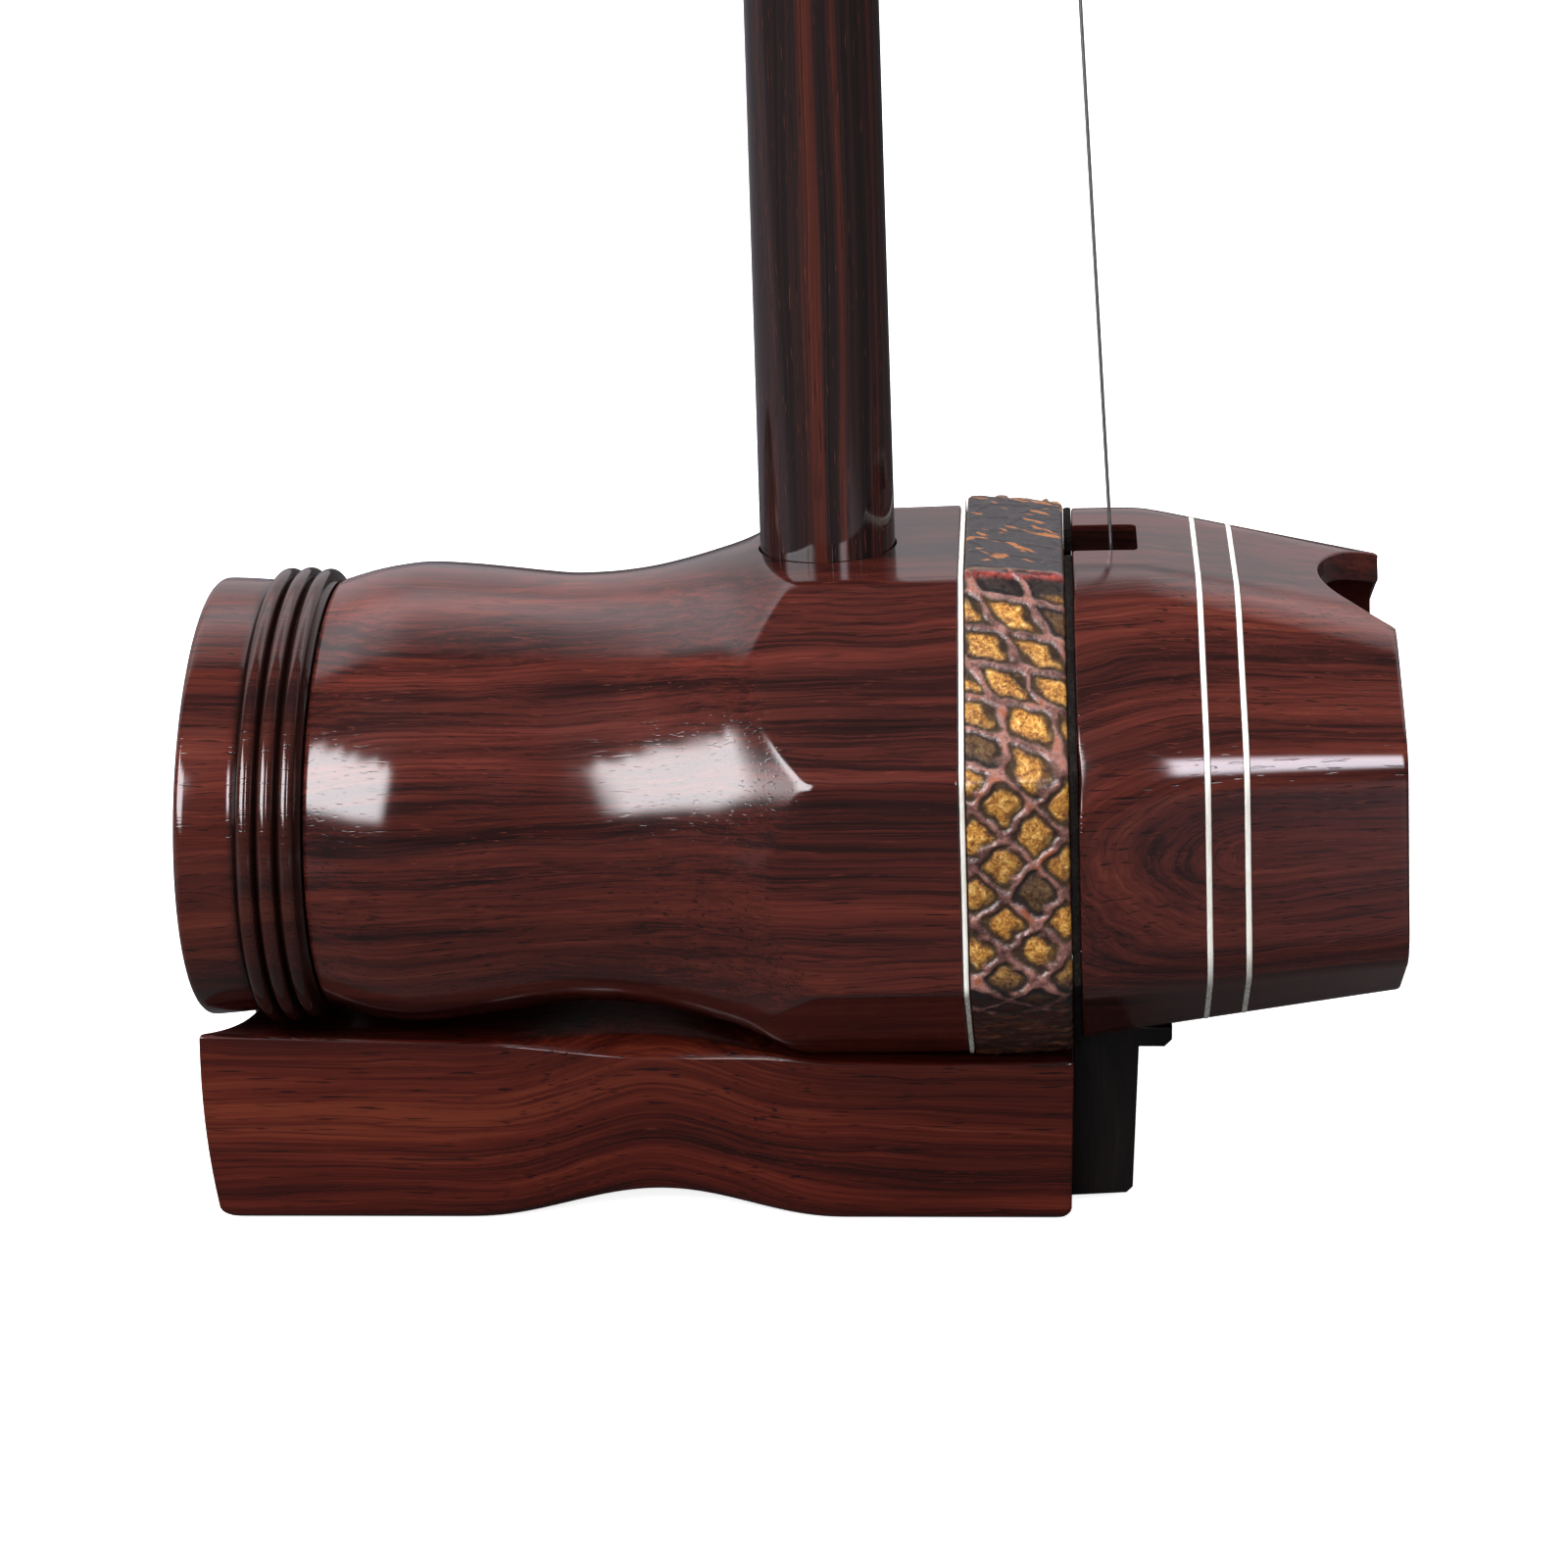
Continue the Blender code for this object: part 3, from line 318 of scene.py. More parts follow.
def snake():
    """Python skin: ochre scales inside raised brown seams, on the mesh's own relief."""
    g = Net("python_skin")
    x, y, z = g.mm()
    ridge, border, tone, dark, top, low = (g.attr(k) for k in ("ridge", "border", "tone", "dark", "top", "low"))
    red = g.attr("red")
    n1 = g.noise(g.vec(x, y, z), scale=0.75, detail=4, rough=0.65, dist=0.8)
    n2 = g.noise(g.vec(x, y, z), scale=1.9, detail=3, rough=0.7, dist=0.5)
    n3 = g.noise(g.vec(x, y, z), scale=0.28, detail=2)
    ochre = g.ramp(g.add(g.mul(n1, 0.55), g.mul(n2, 0.45)),
                   [(0.36, (0.060, 0.020, 0.007)), (0.43, (0.24, 0.086, 0.015)), (0.51, (0.50, 0.22, 0.034)), (0.58, (0.72, 0.41, 0.095)),
                    (0.66, (0.90, 0.68, 0.32))])
    ochre = g.mix(g.mul(g.add(1.0, g.mul(tone, -1.0)), 0.55), ochre, (0.10, 0.045, 0.015))
    blackish = g.ramp(n1, [(0.38, (0.010, 0.007, 0.007)), (0.6, (0.035, 0.022, 0.018))])
    colour = g.mix(dark, ochre, blackish)
    # dark band along the seams: partly the scales' own dark edges, partly painted shade beside the raised seams
    colour = g.mix(g.mul(border, g.span(n2, 0.25, 0.55, 0.8, 1.0)), colour, (0.010, 0.0065, 0.006))
    seam = g.ramp(g.add(g.mul(n1, 0.45), g.mul(n3, 0.55)),
                  [(0.36, (0.055, 0.022, 0.019)), (0.47, (0.15, 0.062, 0.052)), (0.56, (0.31, 0.145, 0.12)), (0.62, (0.28, 0.085, 0.042)), (0.70, (0.34, 0.08, 0.03))])
    colour = g.mix(ridge, colour, seam)
    colour = g.mix(red, colour, g.ramp(n1, [(0.36, (0.09, 0.012, 0.010)), (0.62, (0.36, 0.045, 0.032))]))
    # the top facet is near black with rusty flecks, the lowest one a plain brown
    fleck = g.noise(g.vec(g.mad(y, 0.10, g.mul(x, 0.24)), g.mad(x, 0.12, g.mul(y, 0.50)), g.mul(z, 0.52)), detail=2, rough=0.55, dist=0.4)
    upper = g.mix(g.span(fleck, 0.585, 0.65, 0.0, 0.85), g.ramp(n1, [(0.35, (0.006, 0.006, 0.008)), (0.65, (0.017, 0.015, 0.018))]), (0.36, 0.12, 0.022))
    colour = g.mix(top, colour, upper)
    streak = g.noise(g.vec(g.mul(x, 0.12), g.mul(y, 0.7), g.mul(z, 0.9)), detail=3, rough=0.6)
    lower = g.ramp(streak, [(0.38, (0.018, 0.009, 0.007)), (0.52, (0.060, 0.026, 0.018)), (0.62, (0.17, 0.062, 0.030))])
    colour = g.mix(low, colour, lower)
    wrinkle = g.add(g.mul(n1, 0.6), g.mul(n2, 0.5))
    nrm = g.bump(wrinkle, 0.75, 0.00045)
    g.set(Base_Color=colour, Roughness=g.mad(n2, 0.25, 0.3), Specular_IOR_Level=0.15, Coat_Weight=0.75, Coat_Roughness=0.15, Normal=nrm)
    g.set(Coat_Weight=g.mad(top, -0.42, 0.75))
    g.put(g.bsdf.inputs["Coat Normal"], g.bump(wrinkle, 0.5, 0.0003))
    return g.mat


M_BONE, M_FELT, M_CORD, M_SNAKE = bone(), felt(), cotton(), snake()
M_OLD_BONE = bone("handled_bone", (0.72, 0.66, 0.56))
M_STEEL = metal("steel", (0.58, 0.58, 0.60), 0.28, "z")
M_STRING = metal("string_steel", (0.36, 0.36, 0.37), 0.3, "z", 9.0)
M_WIND = metal("winding_steel", (0.55, 0.55, 0.57), 0.28, "x", 4.0)
M_BRASS = metal("brass", (0.70, 0.47, 0.18), 0.28, "z")


# ------------------------------------------------------------------ mesh helpers
def quads(rows, cols, loop=False, wrap=True):
    i = np.arange(rows if loop else rows - 1)[:, None]
    j = np.arange(cols if wrap else cols - 1)[None, :]
    i2, j2 = (i + 1) % rows, (j + 1) % cols
    return np.stack([i * cols + j, i * cols + j2, i2 * cols + j2, i2 * cols + j], -1).reshape(-1, 4).tolist()


def finish_piece(ob, mat, body, node=None, sharp=35, fix=True):
    me = ob.data
    if fix:
        bm = bmesh.new()
        bm.from_mesh(me)
        bmesh.ops.recalc_face_normals(bm, faces=bm.faces)
        bm.to_mesh(me)
        bm.free()
    me.shade_smooth()
    me.set_sharp_from_angle(angle=math.radians(sharp))
    me.materials.clear()
    me.materials.append(mat)
    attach(ob, body)
    if node:
        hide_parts(node)
    return ob


def raw(name, V, F, tilt=True, attrs=None):
    me = bpy.data.meshes.new(name)
    V = np.asarray(V, float).reshape(-1, 3) * 0.001
    me.from_pydata(V.tolist(), [], F)
    for key, arr in (attrs or {}).items():
        me.attributes.new(key, "FLOAT", "POINT").data.foreach_set("value", np.asarray(arr, np.float32).ravel())
    me.update()
    ob = bpy.data.objects.new(name, me)
    col.objects.link(ob)
    ob.matrix_world = TILT if tilt else FLAT
    return ob


def cut(ob, cutters, how="DIFFERENCE"):
    """Applies booleans and removes the cutters."""
    for c in cutters:
        m = ob.modifiers.new("cut", "BOOLEAN")
        m.operation, m.solver, m.object = how, "EXACT", c
    bpy.context.view_layer.update()
    me = bpy.data.meshes.new_from_object(ob.evaluated_get(bpy.context.evaluated_depsgraph_get()))
    ob.modifiers.clear()
    old = ob.data
    ob.data = me
    bpy.data.meshes.remove(old)
    for c in cutters:
        d = c.data
        bpy.data.objects.remove(c, do_unlink=True)
        bpy.data.meshes.remove(d)
    return ob


def rod(r, length, at, along="z", sides=64, scale_y=1.0, tilt=True):
    t = np.arange(sides) * 2 * math.pi / sides
    u, v = r * np.cos(t), r * np.sin(t)
    rows = []
    for h in (-length / 2, length / 2):
        if along == "x":
            rows.append(np.stack([np.full(sides, at[0] + h), at[1] + u * scale_y, at[2] + v], -1))
        else:
            rows.append(np.stack([at[0] + u, at[1] + v * scale_y, np.full(sides, at[2] + h)], -1))
    F = quads(2, sides) + [list(range(sides))[::-1], list(range(sides, 2 * sides))]
    ob = raw("tool", np.array(rows), F, tilt)
    bm = bmesh.new()
    bm.from_mesh(ob.data)
    bmesh.ops.recalc_face_normals(bm, faces=bm.faces)
    bm.to_mesh(ob.data)
    bm.free()
    return ob


def block(lo, hi, tilt=True, round_=0.0):
    me = bpy.data.meshes.new("tool")
    bm = bmesh.new()
    bmesh.ops.create_cube(bm, size=1)
    for v in bm.verts:
        v.co = [(l + (h - l) * (c + 0.5)) * 0.001 for l, h, c in zip(lo, hi, v.co)]
    if round_:
        bmesh.ops.bevel(bm, geom=bm.edges[:], offset=round_ * 0.001, segments=3, affect="EDGES", profile=0.5)
    bm.to_mesh(me)
    bm.free()
    ob = bpy.data.objects.new("tool", me)
    col.objects.link(ob)
    ob.matrix_world = TILT if tilt else FLAT
    return ob


def soften(prof, r=0.3, n=3, closed=False):
    """Rounds the corners of a (station, radius) profile."""
    out = []
    m = len(prof)
    for i, p in enumerate(prof):
        if not closed and i in (0, m - 1):
            out.append(tuple(p))
            continue
        p = np.array(p, float)
        a, b = np.array(prof[i - 1], float) - p, np.array(prof[(i + 1) % m], float) - p
        la, lb = np.linalg.norm(a), np.linalg.norm(b)
        k = min(r, la * 0.45, lb * 0.45)
        p0, p1 = p + a / la * k, p + b / lb * k
        for t in np.linspace(0, 1, n + 1):
            out.append(tuple((1 - t) ** 2 * p0 + 2 * t * (1 - t) * p + t * t * p1))
    return out


def lathe(name, prof, mat, body, node, n=96, axis="x", at=(0, 0, 0), closed=False, mod=None, tilt=True, sharp=35):
    t = np.arange(n) * 2 * math.pi / n
    V, F, rows = [], [], []
    for s, r in prof:
        if r < 1e-6:
            rows.append([len(V)])
            V.append((s, 0, 0))
        else:
            rr = mod(s, r, t) if mod else np.full(n, r)
            rows.append(list(range(len(V), len(V) + n)))
            V += list(zip(np.full(n, s), rr * np.cos(t), rr * np.sin(t)))
    pairs = list(zip(rows, rows[1:])) + ([(rows[-1], rows[0])] if closed else [])
    for a, b in pairs:
        for j in range(n):
            k = (j + 1) % n
            if len(a) == 1 and len(b) == 1:
                continue
            if len(a) == 1:
                F.append([a[0], b[j], b[k]])
            elif len(b) == 1:
                F.append([a[j], a[k], b[0]])
            else:
                F.append([a[j], a[k], b[k], b[j]])
    V = np.array(V)
    V = V if axis == "x" else V[:, [1, 2, 0]]
    V = V + np.array(at)
    return finish_piece(raw(name, V, F, tilt), mat, body, node, sharp)


def sweep(pts, radii, n=16, squash=None, cyclic=False, up=(0, 1, 0)):
    """Rings round a path. Returns the rings."""
    P = np.asarray(pts, float)
    if cyclic:
        T = np.roll(P, -1, 0) - np.roll(P, 1, 0)
    else:
        T = np.gradient(P, axis=0)
    T /= np.linalg.norm(T, axis=1)[:, None]
    N = np.array(up, float)
    rings = []
    t = np.arange(n) * 2 * math.pi / n
    for i in range(len(P)):
        N = N - T[i] * (N @ T[i])
        N /= np.linalg.norm(N)
        B = np.cross(T[i], N)
        r = radii[i] if np.ndim(radii) else radii
        k = squash if squash else 1.0
        rings.append(P[i] + r * (np.cos(t)[:, None] * N * k + np.sin(t)[:, None] * B))
    return np.array(rings)


def tube(name, pts, radii, mat, body, node, n=16, cyclic=False, squash=None, tilt=True, up=(0, 1, 0)):
    R = sweep(pts, radii, n, squash, cyclic, up)
    F = quads(len(R), n, loop=cyclic)
    if not cyclic:
        m = (len(R) - 1) * n
        F += [list(range(n))[::-1], list(range(m, m + n))]
    return finish_piece(raw(name, R, F, tilt), mat, body, node)


def smin(a, b, k):
    h = np.maximum(k - np.abs(a - b), 0.0)
    return np.minimum(a, b) - h * h / (4 * np.maximum(k, 1e-9))


def oct_corners(top, bottom, b, ct, cb, a):
    return np.array([(a, top), (b, ct), (b, -cb), (a, -bottom), (-a, -bottom), (-b, -cb), (-b, ct), (-a, top)], float)


def oct_r(theta, k, top, bottom, b, ct, cb, a):
    """Distance from the axis to the octagon along each direction theta (0 = +Y, quarter turn = +Z), corners eased by k."""
    C = oct_corners(top, bottom, b, ct, cb, a)
    u = np.stack([np.cos(theta), np.sin(theta)], -1)
    R = []
    for i in range(8):
        p, q = C[i], C[(i + 1) % 8]
        nrm = np.array([q[1] - p[1], p[0] - q[0]])
        if nrm @ p < 0:
            nrm = -nrm
        nrm = nrm / np.linalg.norm(nrm)
        den = u @ nrm
        R.append(np.where(den > 1e-3, (nrm @ p) / np.maximum(den, 1e-3), 1e6))
    R = np.sort(np.array(R), 0)
    return smin(R[0], R[1], k)


def oct_angles(per=44, mixf=0.55):
    """Directions that crowd towards the octagon's corners."""
    C = oct_corners(**OCT)
    ang = np.arctan2(C[:, 1], C[:, 0])
    ang = np.unwrap(ang)
    out = []
    s = np.arange(per) / per
    s = (1 - mixf) * s + mixf * (0.5 - 0.5 * np.cos(math.pi * s))
    for i in range(8):
        a0 = ang[i]
        a1 = ang[i + 1] if i < 7 else ang[0] - 2 * math.pi
        out.append(a0 + (a1 - a0) * s)
    return np.concatenate(out)


THETA = oct_angles()


def body_oct(off=0.0, crown=0.0, k=0.9, theta=THETA):
    e = 0.41 * off
    return oct_r(theta, k, OCT["top"] + off + crown, OCT["bottom"] + off, OCT["b"] + off, OCT["ct"] + e, OCT["cb"] + e, OCT["a"] + e)


def through(points, x):
    """Smooth curve (monotone cubic) through (x, value) points."""
    xs, ys = [p[0] for p in points], [p[1] for p in points]
    if x <= xs[0]:
        return ys[0]
    if x >= xs[-1]:
        return ys[-1]
    d = [(ys[i + 1] - ys[i]) / (xs[i + 1] - xs[i]) for i in range(len(xs) - 1)]
    m = [d[0]] + [0.0 if d[i - 1] * d[i] <= 0 else 2 * d[i - 1] * d[i] / (d[i - 1] + d[i]) for i in range(1, len(d))] + [d[-1]]
    i = max(j for j in range(len(xs) - 1) if xs[j] <= x)
    h = xs[i + 1] - xs[i]
    t = (x - xs[i]) / h
    return ((2 * t**3 - 3 * t**2 + 1) * ys[i] + (t**3 - 2 * t**2 + t) * h * m[i] + (-2 * t**3 + 3 * t**2) * ys[i + 1]
            + (t**3 - t**2) * h * m[i + 1])


def ring(x, r, theta=THETA):
    """Points at distance r from the axis in the plane(s) x."""
    r = np.broadcast_to(r, theta.shape)
    return np.stack([np.broadcast_to(x, theta.shape), r * np.cos(theta), r * np.sin(theta)], -1)


def smoothed(points, lo, hi, step=0.25, sigma=1.1):
    """The monotone curve, eased so that its polish runs without kinks."""
    xs = np.arange(lo - 6, hi + 6 + step, step)
    ys = np.array([through(points, x) for x in xs])
    # straight run-out past both ends keeps the ends in place
    lo_s = (through(points, lo + 0.5) - through(points, lo)) / 0.5
    hi_s = (through(points, hi) - through(points, hi - 0.5)) / 0.5
    ys = np.where(xs < lo, through(points, lo) + (xs - lo) * lo_s, ys)
    ys = np.where(xs > hi, through(points, hi) + (xs - hi) * hi_s, ys)
    w = np.exp(-0.5 * (np.arange(-12, 13) * step / sigma) ** 2)
    w /= w.sum()
    ys2 = np.convolve(np.pad(ys, 12, "edge"), w, "valid")
    return lambda x: float(np.interp(x, xs, ys2))


# ------------------------------------------------------------------ sound box
BODY_CURVE = [(-79.6, 33.1), (-75.5, 34.3), (-71.5, 35.15), (-65.5, 35.75), (-59.4, 35.35), (-53.0, 34.65),
              (-46.6, 33.85), (-41.0, 33.35), (-36.5, 33.45), (-30.5, 34.0), (-24.1, 35.25), (-17.6, 37.0),
              (-14.4, 38.0), (-11.4, 39.3), (-8.0, 41.0), (-4.2, 42.95), (-1.0, 44.6), (3.0, 46.4)]
BORE_CURVE = [(-96.0, 26.4), (-70.0, 28.0), (-40.0, 25.5), (-10.0, 29.0), (15.0, 33.0), (36.7, 33.6)]
turned_r = smoothed(BODY_CURVE, -79.6, 3.0)


def body_r(x):
    off = -0.4 + 0.4 * min(1.0, max(0.0, (x + 12.0) / 33.0))
    o = body_oct(off, 0.0, 0.9)
    t = turned_r(x) if x < 3.0 else 46.4 + (x - 3.0) * 0.6
    return smin(o, np.full_like(o, t), 0.7)


rows = [ring(-79.6, body_r(-79.6) - 0.55), ring(-79.52, body_r(-79.52) - 0.2), ring(-79.3, body_r(-79.3) - 0.03)]
rows += [ring(x, body_r(x)) for x in np.arange(-78.8, 20.6, 0.68)]
rows += [ring(20.7, body_r(20.7)), ring(20.92, body_r(20.9) - 0.08), ring(21.0, body_r(21.0) - 0.25)]
rows += [ring(21.0, body_oct(-2.3)), ring(36.7, body_oct(-2.3))]
rows += [ring(x, through(BORE_CURVE, x)) for x in np.linspace(36.7, -96.9, 40)]
rows += [ring(-97.0, 30.0), ring(-79.6, 30.0)]
V = np.array(rows)
body = raw("sound_box", V, quads(len(V), len(THETA), loop=True))
bm = bmesh.new()
bm.from_mesh(body.data)
bmesh.ops.recalc_face_normals(bm, faces=bm.faces)
bm.to_mesh(body.data)
bm.free()
cut(body, [rod(NECK_RX + 0.28, 120, (0, 0, 0), scale_y=(NECK_RY + 0.28) / (NECK_RX + 0.28), sides=96)])
finish_piece(body, M_BODY, "instrument", "sound_body", fix=False)

# rear rim: three turned beads in front of a plain ring
rim = [(-79.95, 30.3), (-79.95, 33.1)]
for centre, r in ((-82.0, 34.95), (-85.15, 35.25), (-88.3, 35.2)):
    for k in range(1, 16):
        a = math.pi * k / 16
        rim.append((centre + 1.36 * math.cos(a), r - 1.65 + 1.65 * math.sin(a) ** 0.85))
    for k in range(1, 4):
        b = math.pi * k / 4
        rim.append((centre - 1.36 - 0.43 * k / 4, 33.3 - 0.35 * math.sin(b)))
rim += [(-90.3, 33.35), (-91.8, 33.52), (-94.0, 33.72), (-96.0, 33.85), (-97.6, 33.93)]
rim += soften([(-97.8, 33.93), (-98.6, 33.9), (-99.25, 33.35), (-99.5, 32.4)], 0.4, 3)
rim += soften([(-99.5, 32.3), (-99.5, 28.6), (-99.1, 27.8), (-97.35, 27.6), (-97.35, 30.3)], 0.5, 4)
lathe("rear_rim", rim, M_RIM, "instrument", "rear_rim_ring", n=288, closed=True, sharp=48)

# pierced window in the rear
cu = bpy.data.curves.new("rear_window", "CURVE")
cu.dimensions, cu.fill_mode = "2D", "BOTH"
cu.extrude, cu.bevel_depth, cu.bevel_resolution, cu.offset = 0.0019, 0.0004, 3, -0.0004


def outline2d(cu, pts, scale=0.001):
    sp = cu.splines.new("POLY")
    sp.points.add(len(pts) - 1)
    for p, (u, v) in zip(sp.points, pts):
        p.co = (u * scale, v * scale, 0, 1)
    sp.use_cyclic_u = True


t = np.arange(144) * 2 * math.pi / 144
outline2d(cu, [(26 * math.cos(a), 26 * math.sin(a)) for a in t])
t = np.arange(48) * 2 * math.pi / 48
outline2d(cu, [(5 * math.cos(a), 5 * math.sin(a)) for a in t])
for i in range(6):
    a = math.pi / 3 * i + math.pi / 6
    outline2d(cu, [((15.2 + 6.4 * math.cos(q)) * math.cos(a) - 5.2 * math.sin(q) * math.sin(a),
                    (15.2 + 6.4 * math.cos(q)) * math.sin(a) + 5.2 * math.sin(q) * math.cos(a)) for q in t])


def from_curve(cu, local, tilt=True):
    """A curve's solid as a mesh piece, its outline turned into the plane that local gives."""
    tmp = bpy.data.objects.new(cu.name, cu)
    col.objects.link(tmp)
    bpy.context.view_layer.update()
    me = bpy.data.meshes.new_from_object(tmp.evaluated_get(bpy.context.evaluated_depsgraph_get()))
    name = tmp.name
    bpy.data.objects.remove(tmp, do_unlink=True)
    bpy.data.curves.remove(cu)
    me.transform(local)
    bm = bmesh.new()
    bm.from_mesh(me)
    bmesh.ops.remove_doubles(bm, verts=bm.verts, dist=1e-6)
    bm.to_mesh(me)
    bm.free()
    ob = bpy.data.objects.new(name, me)
    col.objects.link(ob)
    ob.matrix_world = TILT if tilt else FLAT
    return ob


YZ = Matrix(((0, 0, 1, 0), (1, 0, 0, 0), (0, 1, 0, 0), (0, 0, 0, 1)))     # outline (u, v) -> (y, z), thickness -> x
XZ = Matrix(((1, 0, 0, 0), (0, 0, -1, 0), (0, 1, 0, 0), (0, 0, 0, 1)))    # outline (u, v) -> (x, z), thickness -> y
finish_piece(from_curve(cu, Matrix.Translation((-0.0943, 0, 0)) @ YZ), M_LATTICE, "instrument", "sound_window", 40)

# bone ring behind the skin
prof = [(21.15, -1.9), (21.15, 0.02), (21.19, 0.14), (21.28, 0.23), (21.42, 0.27), (21.68, 0.27), (21.82, 0.23), (21.91, 0.14),
        (21.95, 0.02), (21.95, -1.9)]
V = np.array([ring(x, body_oct(o, 0.7 if o > -1 else 0.0, 0.9)) for x, o in prof])
finish_piece(raw("bone_ring", V, quads(len(V), len(THETA), loop=True)), M_BONE, "instrument", "front_inlay_ring")


# ------------------------------------------------------------------ python skin, with its scales raised in the mesh
def skin_fields(s, v, rng_shift=0.0):
    """Scale lattice at s mm down the band from the middle of its top and v mm across it. Returns relief (mm) and colour fields."""
    side = np.sign(s)
    a = np.abs(s)
    wob = (0.42 * np.sin(0.61 * s + 1.3 * np.sin(0.33 * v + side)) + 0.30 * np.sin(0.97 * v + 0.45 * s)
           + 0.22 * np.sin(1.7 * s - 1.1 * v + 2.0))
    wob2 = 0.40 * np.sin(0.53 * s - 0.7 * v + 0.8 * side) + 0.26 * np.sin(1.31 * v - 0.83 * s + 1.0)
    grid = np.linspace(0, 150, 3001)
    m = np.clip((grid - 36) / 20, 0, 1)
    m = m * m * (3 - 2 * m)
    Fq = np.concatenate([[0], np.cumsum((0.176 + (0.107 - 0.176) * m)[:-1] * 0.05)])
    Gp = np.concatenate([[0], np.cumsum((-0.074 + (0.107 + 0.074) * m)[:-1] * 0.05)])
    cq = 0.030 + (0.107 - 0.030) * m
    cp = 0.134 + (0.107 - 0.134) * m
    f = lambda arr: np.interp(a, grid, arr)
    vv = v - 7.0
    q = f(Fq) - f(cq) * (vv + wob2) + 0.35 + 0.4 * (side < 0)
    p = f(Gp) + f(cp) * (vv + wob) + 0.15 + 0.3 * (side < 0)
    sp, sq = 1 / (0.9 * np.hypot(f(cp), 0.074)), 1 / (0.9 * np.hypot(0.09, 0.14))
    fp, fq = p - np.floor(p), q - np.floor(q)
    dp = np.minimum(fp, 1 - fp) * 6.6
    dq = np.minimum(fq, 1 - fq) * 6.0
    d = smin(dp, dq, 1.1)
    width = 0.26 + 0.10 * np.sin(0.9 * s + 1.7 * v) + 0.08 * np.sin(2.3 * v - 0.7 * s)
    ridge = np.clip((width + 0.26 - d) / 0.34, 0, 1)
    ridge = ridge * ridge * (3 - 2 * ridge)
    # scales overlap: the seam's upper side gets painted shade, and lower down each scale has a fold beside its front
    # corner
    up = np.clip((0.42 - 0.5 * (1 - fp) - fq) / 0.12, 0, 1) * np.clip((fp - 0.18) / 0.3, 0, 1)
    up = np.maximum(up, np.clip((fp - 0.66) / 0.1, 0, 1) * np.clip((0.85 - fq) / 0.3, 0, 1))
    mm_ = np.clip((a - 36) / 20, 0, 1)
    corner = np.hypot((fp - 0.60) * 1.0, (fq - 0.34) * 1.0)
    fold_d = np.abs(corner - 0.40) * 6.5
    fold_on = np.clip((fp - fq - 0.05) / 0.2, 0, 1) * mm_
    fold = np.clip((0.75 - fold_d) / 0.4, 0, 1) * fold_on * (np.sin(5.1 * np.floor(p) + 3.7 * np.floor(q)) > -0.35)
    # the dark band round each seam and fold is partly the skin's own dark scale edge and partly painted shade beside
    # the raised relief
    border = np.clip((width + 1.16 - d) / 0.42, 0, 1)
    border = np.maximum(border * 0.94, up * (1 - 0.35 * mm_) * 0.97)
    border = np.maximum(border, np.clip((1.35 - fold_d) / 0.5, 0, 1) * fold_on * 0.8)
    ridge = np.maximum(ridge, fold * 0.9)
    h = np.sin(12.9898 * np.floor(p) + 78.233 * np.floor(q) + 3.1 * side) * 43758.5453
    tone = h - np.floor(h)
    h2 = np.sin(4.1 * np.floor(p) + 9.7 * np.floor(q)) * 0.5 + 0.5
    dark = np.clip((a - 78) / 6, 0, 1) * (tone > 0.25) + (tone < 0.07) * 0.8
    dark = np.clip(dark, 0, 1)
    centre = np.clip((d - 0.9) / 1.6, 0, 1)
    relief = 0.30 * ridge - 0.10 * np.clip(border - ridge, 0, 1) + 0.12 * centre * centre * (3 - 2 * centre)
    relief = relief + 0.05 * np.sin(2.1 * s + 3.3 * np.sin(1.9 * v)) * centre
    top = np.clip((15.9 - a) / 0.7, 0, 1)
    low = np.clip((a - 92 - 2.5 * np.sin(0.8 * v)) / 3.0, 0, 1)
    edge_red = np.clip(1 - np.abs(a - 16.9) / 0.85, 0, 1)
    ridge = ridge * (1 - top) * (1 - 0.75 * low)
    relief = relief * (1 - 0.72 * top) * (1 - 0.45 * low) + edge_red * 0.10
    first = np.clip((21.5 - a) / 1.5, 0, 1) * (1 - top)
    dark = np.maximum(dark, first * (h2 > 0.3))
    return relief, dict(red=edge_red, ridge=ridge * (1 - edge_red), border=border * (1 - top), tone=0.35 + 0.65 * tone, dark=dark * (1 - top), top=top, low=low)


C8 = oct_corners(**OCT)
TH_SKIN = oct_angles(104, 0.25)
base_r = body_oct(0.4, 0.0, 0.8, TH_SKIN)
yz = np.stack([base_r * np.cos(TH_SKIN), base_r * np.sin(TH_SKIN)], -1)
# arc length from the middle of the top facet, positive down the -Y side
order = np.argsort((math.pi / 2 - TH_SKIN) % (2 * math.pi))
seg = np.linalg.norm(np.diff(yz[order], axis=0, append=yz[order][:1]), axis=1)
arc = np.zeros(len(TH_SKIN))
arc[order] = np.concatenate([[0], np.cumsum(seg)[:-1]])
total = seg.sum()
shift = np.interp(0.0, [0], [0])
s_ang = np.where(arc > total / 2, total - arc, -arc)       # falls away clockwise (+Y side) as negative values
S_PROF = [(22.2, 0.30, 0.7), (22.6, 0.42, 0.92), (23.0, 0.47, 1.0), (25.0, 0.47, 1.0), (31.0, 0.37, 0.4), (35.0, 0.24, 0.12),
          (36.8, 0.10, 0.0), (37.3, -0.10, 0.0), (37.6, -0.38, 0.0), (37.7, -0.8, 0.0)]
px, po, pc = np.array(S_PROF).T
rows, fields = [], {k: [] for k in ("ridge", "border", "tone", "dark", "top", "low", "red")}


def skin_row(x, off, crown, relief_scale, v):
    r0 = body_oct(off, crown, 0.8, TH_SKIN)
    relief, f = skin_fields(s_ang, np.full_like(s_ang, v))
    rows.append(ring(x, r0 + relief * relief_scale, TH_SKIN))
    for k in fields:
        fields[k].append(f[k])


